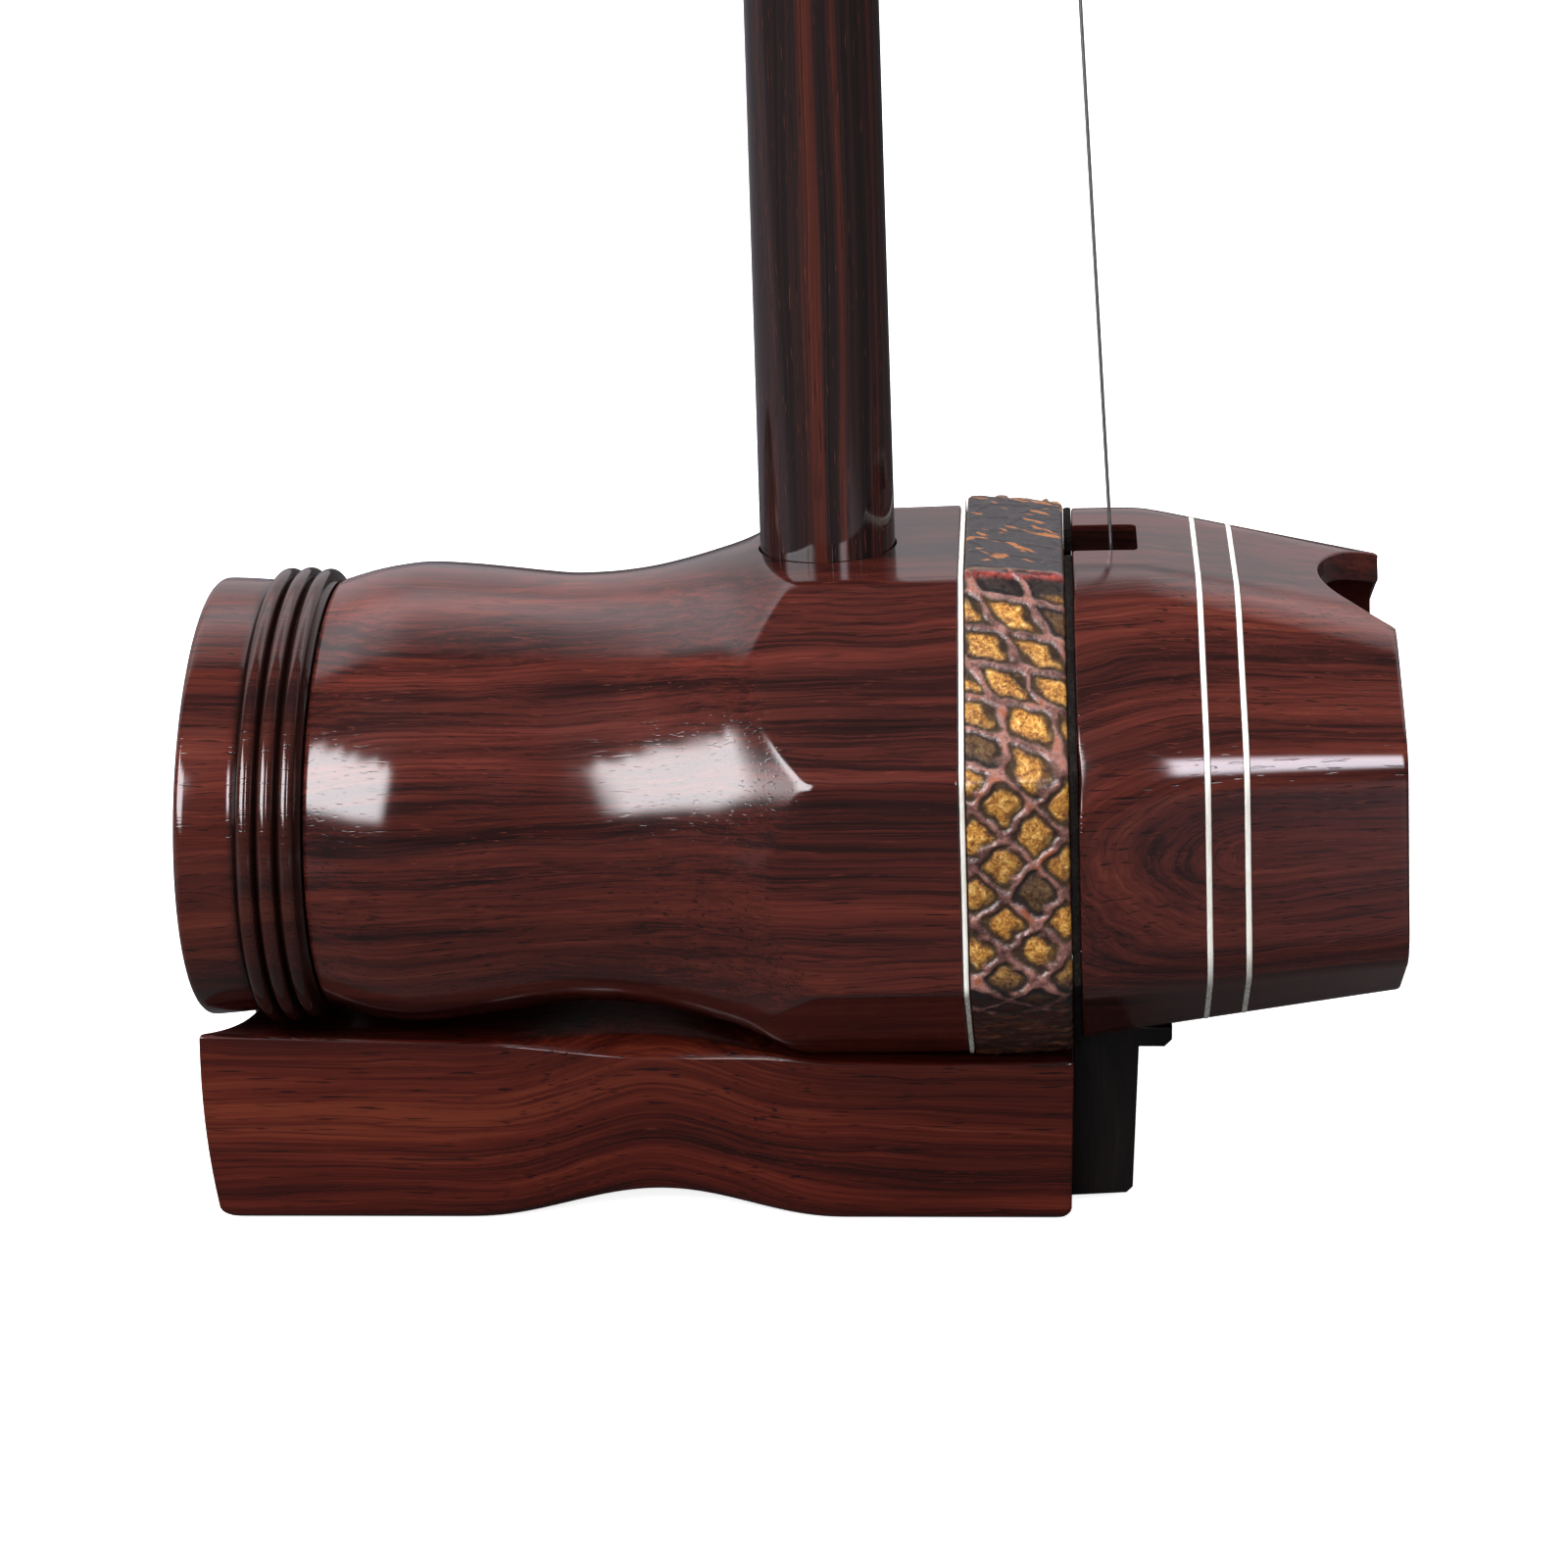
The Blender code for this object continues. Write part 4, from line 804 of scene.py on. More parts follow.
for x in list(np.arange(22.2, 37.0, 0.29)) + [37.15, 37.35, 37.5, 37.62]:
    fade = min(1.0, (x - 22.2) / 0.9) * min(1.0, max(0.0, (37.6 - x) / 1.2))
    skin_row(x, np.interp(x, px, po), np.interp(x, px, pc), 0.25 + 0.75 * fade, x - 22.2)
edge_r = body_oct(-0.8, 0.0, 0.8, TH_SKIN)
n_front = 42
for k in range(n_front):
    # the stretched front: the same scales, larger and flatter
    f_ = 1 - (k / n_front)
    rr = edge_r * f_
    relief, f = skin_fields(22.5 + 0.72 * np.clip(39.5 - rr * np.sin(TH_SKIN), 0, 80), 0.72 * rr * np.cos(TH_SKIN) + 40)
    rows.append(np.stack([SKIN_FRONT + (relief - 0.42) * 0.35 * min(1.0, k / 3), rr * np.cos(TH_SKIN), rr * np.sin(TH_SKIN)], -1))
    for key in fields:
        fields[key].append(f[key] if key not in ("top", "low", "red") else np.zeros_like(f[key]))
ins = [ring(37.0, body_oct(-2.0, 0, 0.8, TH_SKIN), TH_SKIN), ring(22.2, body_oct(-2.0, 0, 0.8, TH_SKIN), TH_SKIN)]
nT = len(TH_SKIN)
V = np.concatenate([np.array(rows).reshape(-1, 3), [[SKIN_FRONT, 0, 0]], np.array(ins).reshape(-1, 3), [[37.0, 0, 0]]])
F = quads(len(rows), nT)
last, tip = (len(rows) - 1) * nT, len(rows) * nT
F += [[last + j, last + (j + 1) % nT, tip] for j in range(nT)]
i0 = tip + 1
F += [[i0 + nT + j, i0 + nT + (j + 1) % nT, (j + 1) % nT, j] for j in range(nT)]
F += [[i0 + j, i0 + (j + 1) % nT, i0 + nT + (j + 1) % nT, i0 + nT + j] for j in range(nT)]
F += [[i0 + j, i0 + (j + 1) % nT, len(V) - 1] for j in range(nT)]
attrs = {k: np.concatenate([np.array(a).ravel(), np.full(len(V) - len(rows) * nT, 0.5 if k == "tone" else 0.0)]) for k, a in fields.items()}
skin = raw("python_skin_band", V, F, attrs=attrs)
finish_piece(skin, M_SNAKE, "instrument", "python_skin", 60)


# ------------------------------------------------------------------ neck
def spine(s):
    if s <= HEAD_Z:
        return np.array([0, 0, s]), np.array([0, 0, 1.0])
    a = (s - HEAD_Z) / HEAD_R
    return np.array([-HEAD_R * (1 - math.cos(a)), 0, HEAD_Z + HEAD_R * math.sin(a)]), np.array([-math.sin(a), 0, math.cos(a)])


def neck_r(s):
    r = NECK_RX - 1.3 * max(0.0, s - 40.0) / (HEAD_Z - 40.0)
    if s > HEAD_Z:
        t = (s - HEAD_Z) / (HEAD_S - HEAD_Z)
        r += 3.4 * t * t
    return r


hs = list(np.arange(NECK_FOOT, HEAD_Z, 6.0)) + list(np.linspace(HEAD_Z, HEAD_S, 30))
end, way = spine(HEAD_S)
pts = [spine(s)[0] for s in hs] + [end + way * 1.6, end + way * 1.9, end + way * 2.0]
rad = [neck_r(s) for s in hs] + [neck_r(HEAD_S), neck_r(HEAD_S) - 0.12, neck_r(HEAD_S) - 0.4]
pts[0] = np.array([0, 0, NECK_FOOT])
R = sweep(pts, rad, 96, NECK_RY / NECK_RX)
F = quads(len(R), 96) + [list(range(96))[::-1], list(range((len(R) - 1) * 96, len(R) * 96))]
neck = raw("neck_stick", R, F)
bm = bmesh.new()
bm.from_mesh(neck.data)
bmesh.ops.recalc_face_normals(bm, faces=bm.faces)
bm.to_mesh(neck.data)
bm.free()
cut(neck, [rod(5.8, 60, (0, 0, PEG_Z["lower"]), along="x"), rod(5.8, 60, (0, 0, PEG_Z["upper"]), along="x"),
           rod(3.3, 50, (0, 0, NECK_FOOT), sides=32)])
finish_piece(neck, M_NECK, "instrument", "neck", fix=False)
caps = [(2.3, 0.985), (2.45, 1.0), (3.3, 1.0), (3.9, 0.975), (4.4, 0.93), (4.8, 0.86), (5.05, 0.77), (5.18, 0.68), (5.2, 0.6)]
tube("neck_cap", [end + way * d for d, _ in caps], [neck_r(HEAD_S) * k for _, k in caps], M_OLD_BONE, "instrument", "head_cap",
     n=96, squash=NECK_RY / NECK_RX)


# ------------------------------------------------------------------ hood
def hood_r(x, inset=0.0, k=1.0):
    t = max(0.0, x - 50.5)
    top = 39.5 - 0.232 * (math.sqrt((x - 50.5) ** 2 + 4.0) + (x - 50.5)) / 2 if inset == 0 else 39.5 - 0.232 * t
    bottom = 38.4 - 0.131 * (x - 39.1)
    b = 41.2 - 0.143 * (x - 39.1) + 0.0008 * (x - 39.1) ** 2
    e = 0.41 * inset
    return oct_r(THETA, k, top - inset, bottom - inset, b - inset, 17.6 - 0.012 * (x - 39.1) - e,
                 17.4 - 0.028 * (x - 39.1) - e, 16.6 - 0.008 * (x - 39.1) - e)


SIDEWAYS = np.clip((np.abs(np.cos(THETA)) - 0.62) / 0.2, 0, 1) * (np.sin(THETA) > -0.12)
SIDEWAYS = SIDEWAYS * SIDEWAYS * (3 - 2 * SIDEWAYS)


def hood_k(x):
    """The corners are eased all along, and those on the flanks grow blunt towards the rear."""
    t = min(1.0, max(0.0, (x - 39.1) / 16.0))
    return 4.2 + SIDEWAYS * 9.0 * (1 - t) ** 2


def front_x(y):
    """Plan of the front edge, with the scoop in the middle of the top wall."""
    return np.minimum(89.6, 78.6 + 0.0447 * y * y)


sin_t, cos_t = np.sin(THETA), np.cos(THETA)


def hood_row(x, inset, drop=0.0, k=None):
    """A ring of the hood; past x = 68 it is drawn back towards the scooped front edge over the top wall."""
    r = hood_r(min(x, 89.6), inset, hood_k(x) if k is None else k) - drop
    P = ring(x, r)
    if x > 68.0:
        topside = (sin_t > 0.55) & (np.abs(P[:, 1]) < 15.7)
        fx = np.where(topside, front_x(P[:, 1]), 89.6)
        xx = 68.0 + (x - 68.0) * (fx - 68.0) / (89.6 - 68.0)
        for j in np.nonzero(topside & (fx < 89.59))[0]:
            rj = hood_r(xx[j], inset, hood_k(xx[j]))[j] - drop
            P[j] = (xx[j], rj * cos_t[j], rj * sin_t[j])
    return P


rows = []
grooves = [58.4, 64.4]
outer = [(39.1, 0.6), (39.14, 0.34), (39.25, 0.14), (39.42, 0.03), (39.7, 0.0)] + [(x, 0.0) for x in np.arange(40.5, 58.2, 0.62)]
outer += [(58.3, 0.0), (58.34, 0.08), (58.34, 1.3), (59.27, 1.3), (59.27, 0.08), (59.31, 0.0)]
outer += [(x, 0.0) for x in np.arange(60.0, 64.2, 0.62)]
outer += [(64.3, 0.0), (64.34, 0.08), (64.34, 1.3), (65.27, 1.3), (65.27, 0.08), (65.31, 0.0)]
outer += [(x, 0.0) for x in np.arange(66.0, 89.0, 0.62)] + [(89.15, 0.03), (89.4, 0.12), (89.55, 0.28), (89.6, 0.5)]
rows = [hood_row(x, 0.0, d) for x, d in outer]
inner_x = [89.6, 89.5, 89.2] + list(np.linspace(88.6, 40.0, 50)) + [39.1]
rows += [hood_row(89.6, 4.5, -0.4, 0.8)] + [hood_row(x, 4.5, 0.0, 0.8) for x in inner_x[1:]]
V = np.array(rows)
hood = raw("hood_shell", V, quads(len(V), len(THETA), loop=True))
bm = bmesh.new()
bm.from_mesh(hood.data)
bmesh.ops.recalc_face_normals(bm, faces=bm.faces)
bm.to_mesh(hood.data)
bm.free()
cut(hood, [block((30, -5.7, 25), (49.5, 5.7, 50), round_=0.9), block((30, -13.8, -50), (47.6, 13.8, -28), round_=0.9)])
finish_piece(hood, M_HOOD, "hood_set", "hood", 40, fix=False)
for name, node, x in (("hood_line_rear", "hood_inlay_rear", 58.4), ("hood_line_front", "hood_inlay_front", 64.4)):
    prof = [(x - 0.03, 1.15), (x - 0.03, 0.06), (x + 0.03, -0.02), (x + 0.12, -0.055), (x + 0.4, -0.07), (x + 0.68, -0.055), (x + 0.77, -0.02),
            (x + 0.83, 0.06), (x + 0.83, 1.15)]
    V = np.array([ring(q, hood_r(q, 0.0, hood_k(q)) - d) for q, d in prof])
    finish_piece(raw(name, V, quads(len(V), len(THETA), loop=True)), M_BONE, "hood_set", node)

# felt between the skin and the hood, open at the bottom for the bracket
rng = np.random.default_rng(7)
prof = [(37.76, -0.95), (37.9, -0.82), (38.4, -0.74), (38.9, -0.82), (39.04, -0.95), (39.04, -4.4), (38.9, -4.55), (37.9, -4.55), (37.76, -4.4)]
fuzz = rng.normal(0, 0.035, (len(prof), len(THETA)))
V = np.array([ring(x, body_oct(o, 0, 0.8) + fuzz[i]) for i, (x, o) in enumerate(prof)])
felt_ring = raw("felt_gasket", V, quads(len(V), len(THETA), loop=True))
bm = bmesh.new()
bm.from_mesh(felt_ring.data)
bmesh.ops.recalc_face_normals(bm, faces=bm.faces)
bm.to_mesh(felt_ring.data)
bm.free()
cut(felt_ring, [block((37, -13.8, -50), (40, 13.8, -20)), block((37, -5.7, 20), (40, 5.7, 50))])
finish_piece(felt_ring, M_FELT, "instrument", "hood_felt", fix=False)


# ------------------------------------------------------------------ base
def cosine(x, lo, hi):
    return 0.0 if x <= lo or x >= hi else 0.5 - 0.5 * math.cos(2 * math.pi * (x - lo) / (hi - lo))


BASE_REAR, BASE_FRONT = -99.2, 39.0


def bezier(p0, p1, p2, n):
    p0, p1, p2 = (np.array(p, float) for p in (p0, p1, p2))
    return [tuple((1 - t) ** 2 * p0 + 2 * t * (1 - t) * p1 + t * t * p2) for t in np.linspace(0, 1, n)]


def base_half(x):
    w = 20.0 - 0.5 * (x - BASE_REAR) / (BASE_FRONT - BASE_REAR) - 3.4 * cosine(x, -58.0, 4.0)
    low = 3.0 * cosine(x, -55.0, 1.5)
    crown = cosine(x, -56.0, -3.0)
    centre = through([(-99.2, 27.6), (-60.0, 27.6), (-27.0, 26.8), (-12.0, 25.9), (0.0, 26.0), (22.0, 26.3), (BASE_FRONT, 27.2)], x)
    edge = through([(-99.2, 31.5), (-56.0, 30.3), (-27.0, 29.0), (-10.0, 27.8), (0.0, 27.1), (22.0, 26.9), (BASE_FRONT, 27.4)], x)
    power = through([(-99.2, 2.0), (-27.0, 2.2), (-10.0, 6.0), (BASE_FRONT, 6.0)], x)
    edge_in = edge - 1.0 * crown
    cy, cz = 0.5 + 3.4 * crown, 0.4 + 1.7 * crown
    half = [(w * k / 7, low) for k in range(7)]
    half += bezier((w - 2.1, low), (w - 0.3, low), (w, low + 2.1), 7)
    top_side = edge_in - cz
    half += [(w, z) for z in np.linspace(low + 2.8, top_side - 0.35, 22)]
    k = 0.22
    dy, dz = -cy, cz
    L = math.hypot(dy, dz)
    half += bezier((w, top_side - k), (w, top_side), (w + dy / L * k, top_side + dz / L * k), 4)
    e0, e1 = np.array([w + dy / L * k, top_side + dz / L * k]), np.array([w - cy - dy / L * k, edge_in - dz / L * k])
    for t in np.linspace(0, 1, 6)[1:-1]:
        q = e0 + (e1 - e0) * t
        bow = 0.35 * crown * 4 * t * (1 - t)
        half.append((q[0] + bow * 0.45, q[1] + bow * 0.9))
    yt = w - cy
    inside = 0.97
    zt = lambda f: centre + (edge_in - centre) * f ** power
    half += bezier(tuple(e1), (yt, edge_in), (yt * inside, zt(inside)), 5)
    half += [(f * yt, zt(f)) for f in (0.92, 0.86, 0.79, 0.7, 0.6, 0.5, 0.4, 0.3, 0.2, 0.1)]
    return np.array(half), centre, w


def base_point(x, y, z, w):
    t = max(0.0, 1 - (x - BASE_REAR) / 22.0)
    x += t * (6.5 * (1 - (y / w) ** 2) + 3.2 * (max(0.0, 31.5 - z) / 31.5) ** 2.2 + 1.8 * max(0.0, 1 - z / 2.2) ** 2)
    t = max(0.0, 1 - (BASE_FRONT - x) / 8.0)
    x -= t * 1.9 * max(0.0, 1 - z / 2.2) ** 2
    return (x, y, z)


def base_ring(x, pull=0.0, shrink=1.0):
    half, centre, w = base_half(x)
    full = np.concatenate([half, [[0.0, centre]], (half[1:] * [-1, 1])[::-1]])
    mid = np.array([0.0, 14.0])
    if pull:
        e = np.roll(full, -1, 0) - np.roll(full, 1, 0)
        nrm = np.stack([e[:, 1], -e[:, 0]], -1)
        nrm /= np.linalg.norm(nrm, axis=1)[:, None] + 1e-12
        full = full - nrm * pull
    full = mid + (full - mid) * shrink
    return [base_point(x, y, z, w) for y, z in full]


rows = [base_ring(BASE_REAR, 0.5, k) for k in (0.15, 0.4, 0.65, 0.85)]
rows += [base_ring(BASE_REAR, 0.5), base_ring(BASE_REAR + 0.06, 0.28), base_ring(BASE_REAR + 0.2, 0.1), base_ring(BASE_REAR + 0.45, 0.02)]
rows += [base_ring(x) for x in np.arange(BASE_REAR + 0.9, BASE_FRONT - 0.6, 0.85)]
rows += [base_ring(BASE_FRONT - 0.45, 0.02), base_ring(BASE_FRONT - 0.2, 0.1), base_ring(BASE_FRONT - 0.06, 0.28), base_ring(BASE_FRONT, 0.5)]
rows += [base_ring(BASE_FRONT, 0.5, k) for k in (0.85, 0.65, 0.4, 0.15)]
nb = len(rows[0])
V = np.array(rows).reshape(-1, 3)
c0, c1 = V[:nb].mean(0), V[-nb:].mean(0)
F = quads(len(rows), nb)
m = len(V)
F += [[j, (j + 1) % nb, m] for j in range(nb)] + [[m - nb + j, m - nb + (j + 1) % nb, m + 1] for j in range(nb)]
base = raw("base_block", np.concatenate([V, [c0, c1]]), F, tilt=False)
bm = bmesh.new()
bm.from_mesh(base.data)
bmesh.ops.recalc_face_normals(bm, faces=bm.faces)
bm.to_mesh(base.data)
bm.free()
cut(base, [rod(NECK_RX + 0.3, 100, (0, 0, NECK_FOOT - 0.4 + 50), sides=64, scale_y=(NECK_RY + 0.3) / (NECK_RX + 0.3)),
           rod(3.4, 60, (0, 0, -55), sides=32), rod(7.3, 30, (0, 0, -75.2), sides=64)])
finish_piece(base, M_BASE, "instrument", "base", 40, fix=False)

bolt = soften([(-25.5, 0), (-26.5, 2.6), (-28.0, 3.0), (-60.5, 3.0), (-60.5, 6.8), (-63.2, 6.8), (-64.0, 5.8), (-64.0, 0)], 0.3)
bolt_ob = lathe("neck_bolt", bolt, M_STEEL, "instrument", "base_bolt", axis="z", n=64)
bolt_ob.parent = None
bolt_ob.matrix_world = TILT
cut(bolt_ob, [block((-5.2, -0.6, -64.6), (5.2, 0.6, -62.8))])
finish_piece(bolt_ob, M_STEEL, "instrument", "base_bolt", fix=False)

# black bracket with its screws and string pins
cu = bpy.data.curves.new("front_bracket", "CURVE")
cu.dimensions, cu.fill_mode = "2D", "BOTH"
cu.extrude, cu.bevel_depth, cu.bevel_resolution, cu.offset = 0.0128, 0.0002, 2, -0.0002
side = [(39.08, 0.9), (47.9, 1.4), (48.9, 2.4), (49.5, 26.6), (53.6, 26.6), (54.8, 27.8), (54.8, 29.9), (39.08, 29.9)]
outline2d(cu, side)
bracket = from_curve(cu, XZ, tilt=False)
cut(bracket, [rod(3.7, 6, (50.4, 0, 8.0), along="x", tilt=False), rod(3.7, 6, (50.4, 0, 19.0), along="x", tilt=False),
              rod(1.45, 12, (43.6, 4.4, 29.9), tilt=False, sides=32), rod(1.45, 12, (43.6, -4.4, 29.9), tilt=False, sides=32)])
finish_piece(bracket, M_BLACK, "instrument", "tail_bracket", 40)
for name, z in (("bracket_screw_lower", 8.0), ("bracket_screw_upper", 19.0)):
    sc = lathe(name.replace("bracket_", ""), soften([(48.9, 0), (48.85, 1.2), (48.6, 2.4), (48.2, 3.3), (47.7, 3.3), (47.7, 1.6), (26.5, 1.6), (25.6, 0)], 0.2),
               M_STEEL, "instrument", name, n=64, at=(0, 0, z), tilt=False)
    sc.parent = None
    sc.matrix_world = FLAT
    cut(sc, [block((48.2, -2.6, z - 0.35), (49.4, 2.6, z + 0.35), tilt=False), block((48.2, -0.35, z - 2.6), (49.4, 0.35, z + 2.6), tilt=False)])
    finish_piece(sc, M_STEEL, "instrument", name, fix=False)
for name, y in (("string_pin_inner", 4.4), ("string_pin_outer", -4.4)):
    lathe(name.replace("string_", ""), soften([(35.0, 0), (34.95, 0.9), (34.6, 1.6), (34.0, 1.6), (33.5, 1.15), (24.6, 1.15), (24.2, 0)], 0.25), M_BRASS,
          "instrument", name, n=48, axis="z", at=(43.6, y, 0), tilt=False)

# ------------------------------------------------------------------ bridge and damper
foot = SKIN_FRONT + 0.3
half = [(foot, 4.6), (foot, 10.4), (foot + 0.9, 10.5), (foot + 1.7, 10.2), (foot + 2.6, 9.4), (foot + 3.6, 8.4), (foot + 5.0, 7.2), (foot + 6.2, 6.2),
        (foot + 7.2, 5.4), (foot + 7.8, 4.8), (foot + 8.0, 4.3), (foot + 7.85, 3.95), (foot + 7.85, 3.8), (foot + 8.0, 3.4), (foot + 7.8, 2.6), (foot + 7.45, 1.9),
        (foot + 7.25, 1.0)]
inner = [(foot + 2.5, 0.0), (foot + 2.42, 1.2), (foot + 2.2, 2.3), (foot + 1.75, 3.2), (foot + 1.0, 4.0)]
pts = [(x, y) for x, y in inner[::-1][:-1]] + [inner[0]] + [(x, -y) for x, y in inner[1:]] + [(x, -y) for x, y in half] + [(foot + 7.2, 0.0)] + [(x, y) for x, y in half[::-1]]
cu = bpy.data.curves.new("string_bridge", "CURVE")
cu.dimensions, cu.fill_mode = "2D", "BOTH"
cu.extrude, cu.bevel_depth, cu.bevel_resolution, cu.offset = 0.00205, 0.00035, 3, -0.00035
outline2d(cu, pts)
finish_piece(from_curve(cu, Matrix.Identity(4)), M_BRIDGE, "instrument", "bridge", 40)
rng = np.random.default_rng(11)
damp = [(-12.0, 0)] + [(-12.05 - 0.9 * (1 - math.cos(a)), 3.2 * math.sin(a) ** 0.5) for a in np.linspace(0.2, math.pi / 2, 7)]
damp += [(z, 3.28) for z in np.linspace(-13.4, -20.6, 16)]
damp += [(-21.95 + 0.9 * (1 - math.cos(a)), 3.2 * math.sin(a) ** 0.5) for a in np.linspace(math.pi / 2, 0.2, 7)] + [(-22.0, 0)]
lathe("damper_pad", damp, M_FELT, "instrument", "damper_felt", axis="z", n=64, at=(foot + 3.4, 0, 0),
      mod=lambda s, r, t: r - 0.12 + rng.normal(0, 0.03, len(t)) + 0.08 * np.sin(3 * t + s))

# ------------------------------------------------------------------ pegs
PROFILE = [(27.0, 0), (27.0, 3.5), (26.2, 4.4), (24.0, 4.6), (12.5, 4.7), (-12.5, 5.35), (-13.2, 5.5), (-17.2, 5.5), (-19.0, 6.9), (-24.0, 8.4),
           (-34.0, 9.4), (-50.0, 9.7), (-66.0, 9.2), (-76.0, 8.0), (-81.0, 6.4), (-83.0, 4.0), (-83.0, 0)]


def dense(prof, step=0.8):
    out = [prof[0]]
    for p, q in zip(prof, prof[1:]):
        n = max(1, int(math.hypot(q[0] - p[0], q[1] - p[1]) / step))
        out += [(p[0] + (q[0] - p[0]) * k / n, p[1] + (q[1] - p[1]) * k / n) for k in range(1, n + 1)]
    return out


handle = [(x, through([(-83.0, 4.0), (-81.0, 6.4), (-76.0, 8.0), (-66.0, 9.2), (-50.0, 9.7), (-34.0, 9.4), (-24.0, 8.4), (-19.0, 6.9), (-17.2, 5.6)], x))
          for x in np.linspace(-17.6, -82.9, 90)]
peg_prof = dense(PROFILE[:8]) + handle + [(-83.0, 3.8), (-83.0, 0)]


def flutes(s, r, t):
    """Ten shallow flutes along the handle, fading at both ends."""
    w = min(1.0, max(0.0, (-s - 21.0) / 7.0)) * min(1.0, max(0.0, (s + 81.5) / 7.0))
    w = w * w * (3 - 2 * w)
    return r - w * 0.75 * np.abs(np.sin(5 * t)) ** 0.0 * (0.5 - 0.5 * np.cos(10 * t)) ** 1.4


for which, z in PEG_Z.items():
    body_name = which + "_peg_set"
    lathe(which + "_peg_turned", peg_prof, M_PEG, body_name, which + "_peg", n=160, at=(0, 0, z), mod=flutes, sharp=40)
    button = soften([(-83.3, 0), (-83.3, 3.9), (-84.6, 4.3), (-87.4, 3.6), (-88.8, 2.0), (-89.2, 0)], 0.8, 6)
    lathe(which + "_button", button, M_OLD_BONE, body_name, which + "_peg_button", n=72, at=(0, 0, z))
    ring_p = soften([(-13.5, 7.0), (-14.2, 7.4), (-16.0, 7.4), (-16.7, 7.0), (-16.7, 5.8), (-13.5, 5.8)], 0.35, 4, closed=True)
    lathe(which + "_collar", ring_p, M_OLD_BONE, body_name, which + "_peg_ring", n=72, closed=True, at=(0, 0, z))
    wx, wr = WIND_X[which], 0.40
    turns = 4.6
    t = np.linspace(0, turns * 2 * math.pi, 420)
    path = np.stack([wx - 1.9 + 3.8 * t / t[-1] + 0.05 * np.sin(3.1 * t), 5.62 * np.cos(t), z + 5.62 * np.sin(t)], -1)
    tube(which + "_coil", path, wr, M_WIND, body_name, which + "_winding", n=12, up=(1, 0, 0))

# ------------------------------------------------------------------ strings and their cord
for name, sgn, r, which in (("inner_string", 1, 0.30, "upper"), ("outer_string", -1, 0.21, "lower")):
    y = sgn * 3.9
    key = [(44.4, sgn * 4.4, -34.8), (BRIDGE_X, y, -3.5), (BRIDGE_X, y, 3.5)]
    key += [(BRIDGE_X - SLOPE * z, y + (sgn * 1.9 - y) * z / QIANJIN_Z, z) for z in (130.0, 260.0, QIANJIN_Z)]
    key += [(WIND_X[which], sgn * 6.75, PEG_Z[which])]
    path = []
    for p, q in zip(key, key[1:]):
        p, q = np.array(p), np.array(q)
        n = max(2, int(np.linalg.norm(q - p) / 6))
        path += [p + (q - p) * k / n for k in range(n)]
    path.append(np.array(key[-1]))
    tube(name + "_wire", path, r, M_STRING, "instrument", name, n=14, up=(1, 0, 0))

q_x = BRIDGE_X - SLOPE * QIANJIN_Z
nx, ny = neck_r(QIANJIN_Z) + 0.62, NECK_RY * neck_r(QIANJIN_Z) / NECK_RX + 0.62
tip_x, tip_r = q_x - 1.9, 4.35
loops, per = 3, 420
th = np.linspace(0, 2 * math.pi * loops, loops * per)
c, d = np.cos(th), np.sin(th)
reach = np.hypot(nx * c, ny * d)
X = np.where(reach >= tip_x * c + tip_r, nx * nx * c / reach, tip_x + tip_r * c)
Y = np.where(reach >= tip_x * c + tip_r, ny * ny * d / reach, tip_r * d)
Z = QIANJIN_Z - 0.72 + 1.44 * th / th[-1]
path = np.stack([X, Y, Z], -1)
# even spacing along the loop, so that the twist keeps one pitch on the straight runs
seg = np.concatenate([[0], np.cumsum(np.linalg.norm(np.diff(path, axis=0), axis=1))])
path = np.stack([np.interp(np.arange(0, seg[-1], 0.22), seg, path[:, i]) for i in range(3)], -1)
T = np.gradient(path, axis=0)
T /= np.linalg.norm(T, axis=1)[:, None]
B = np.array([0, 0, 1.0]) - T * T[:, 2:3]
B /= np.linalg.norm(B, axis=1)[:, None]
N = np.cross(B, T)
phase = np.arange(len(path)) * 0.22 * 2 * math.pi / 1.9
V, F = [], []
for k in range(3):
    off = phase + 2 * math.pi * k / 3
    strand = path + 0.21 * (np.cos(off)[:, None] * N + np.sin(off)[:, None] * B)
    R = sweep(strand, 0.21, 7, up=(0, 0, 1))
    base_i = len(V)
    V += R.reshape(-1, 3).tolist()
    F += [[base_i + i for i in f] for f in quads(len(R), 7)]
    F += [[base_i + j for j in range(7)][::-1], [base_i + (len(R) - 1) * 7 + j for j in range(7)]]
finish_piece(raw("qianjin_loop", V, F), M_CORD, "cord", "qianjin_cord", 60)

# ------------------------------------------------------------------ floor, light, camera
scene.view_settings.view_transform = "Standard"
scene.view_settings.look = "None"


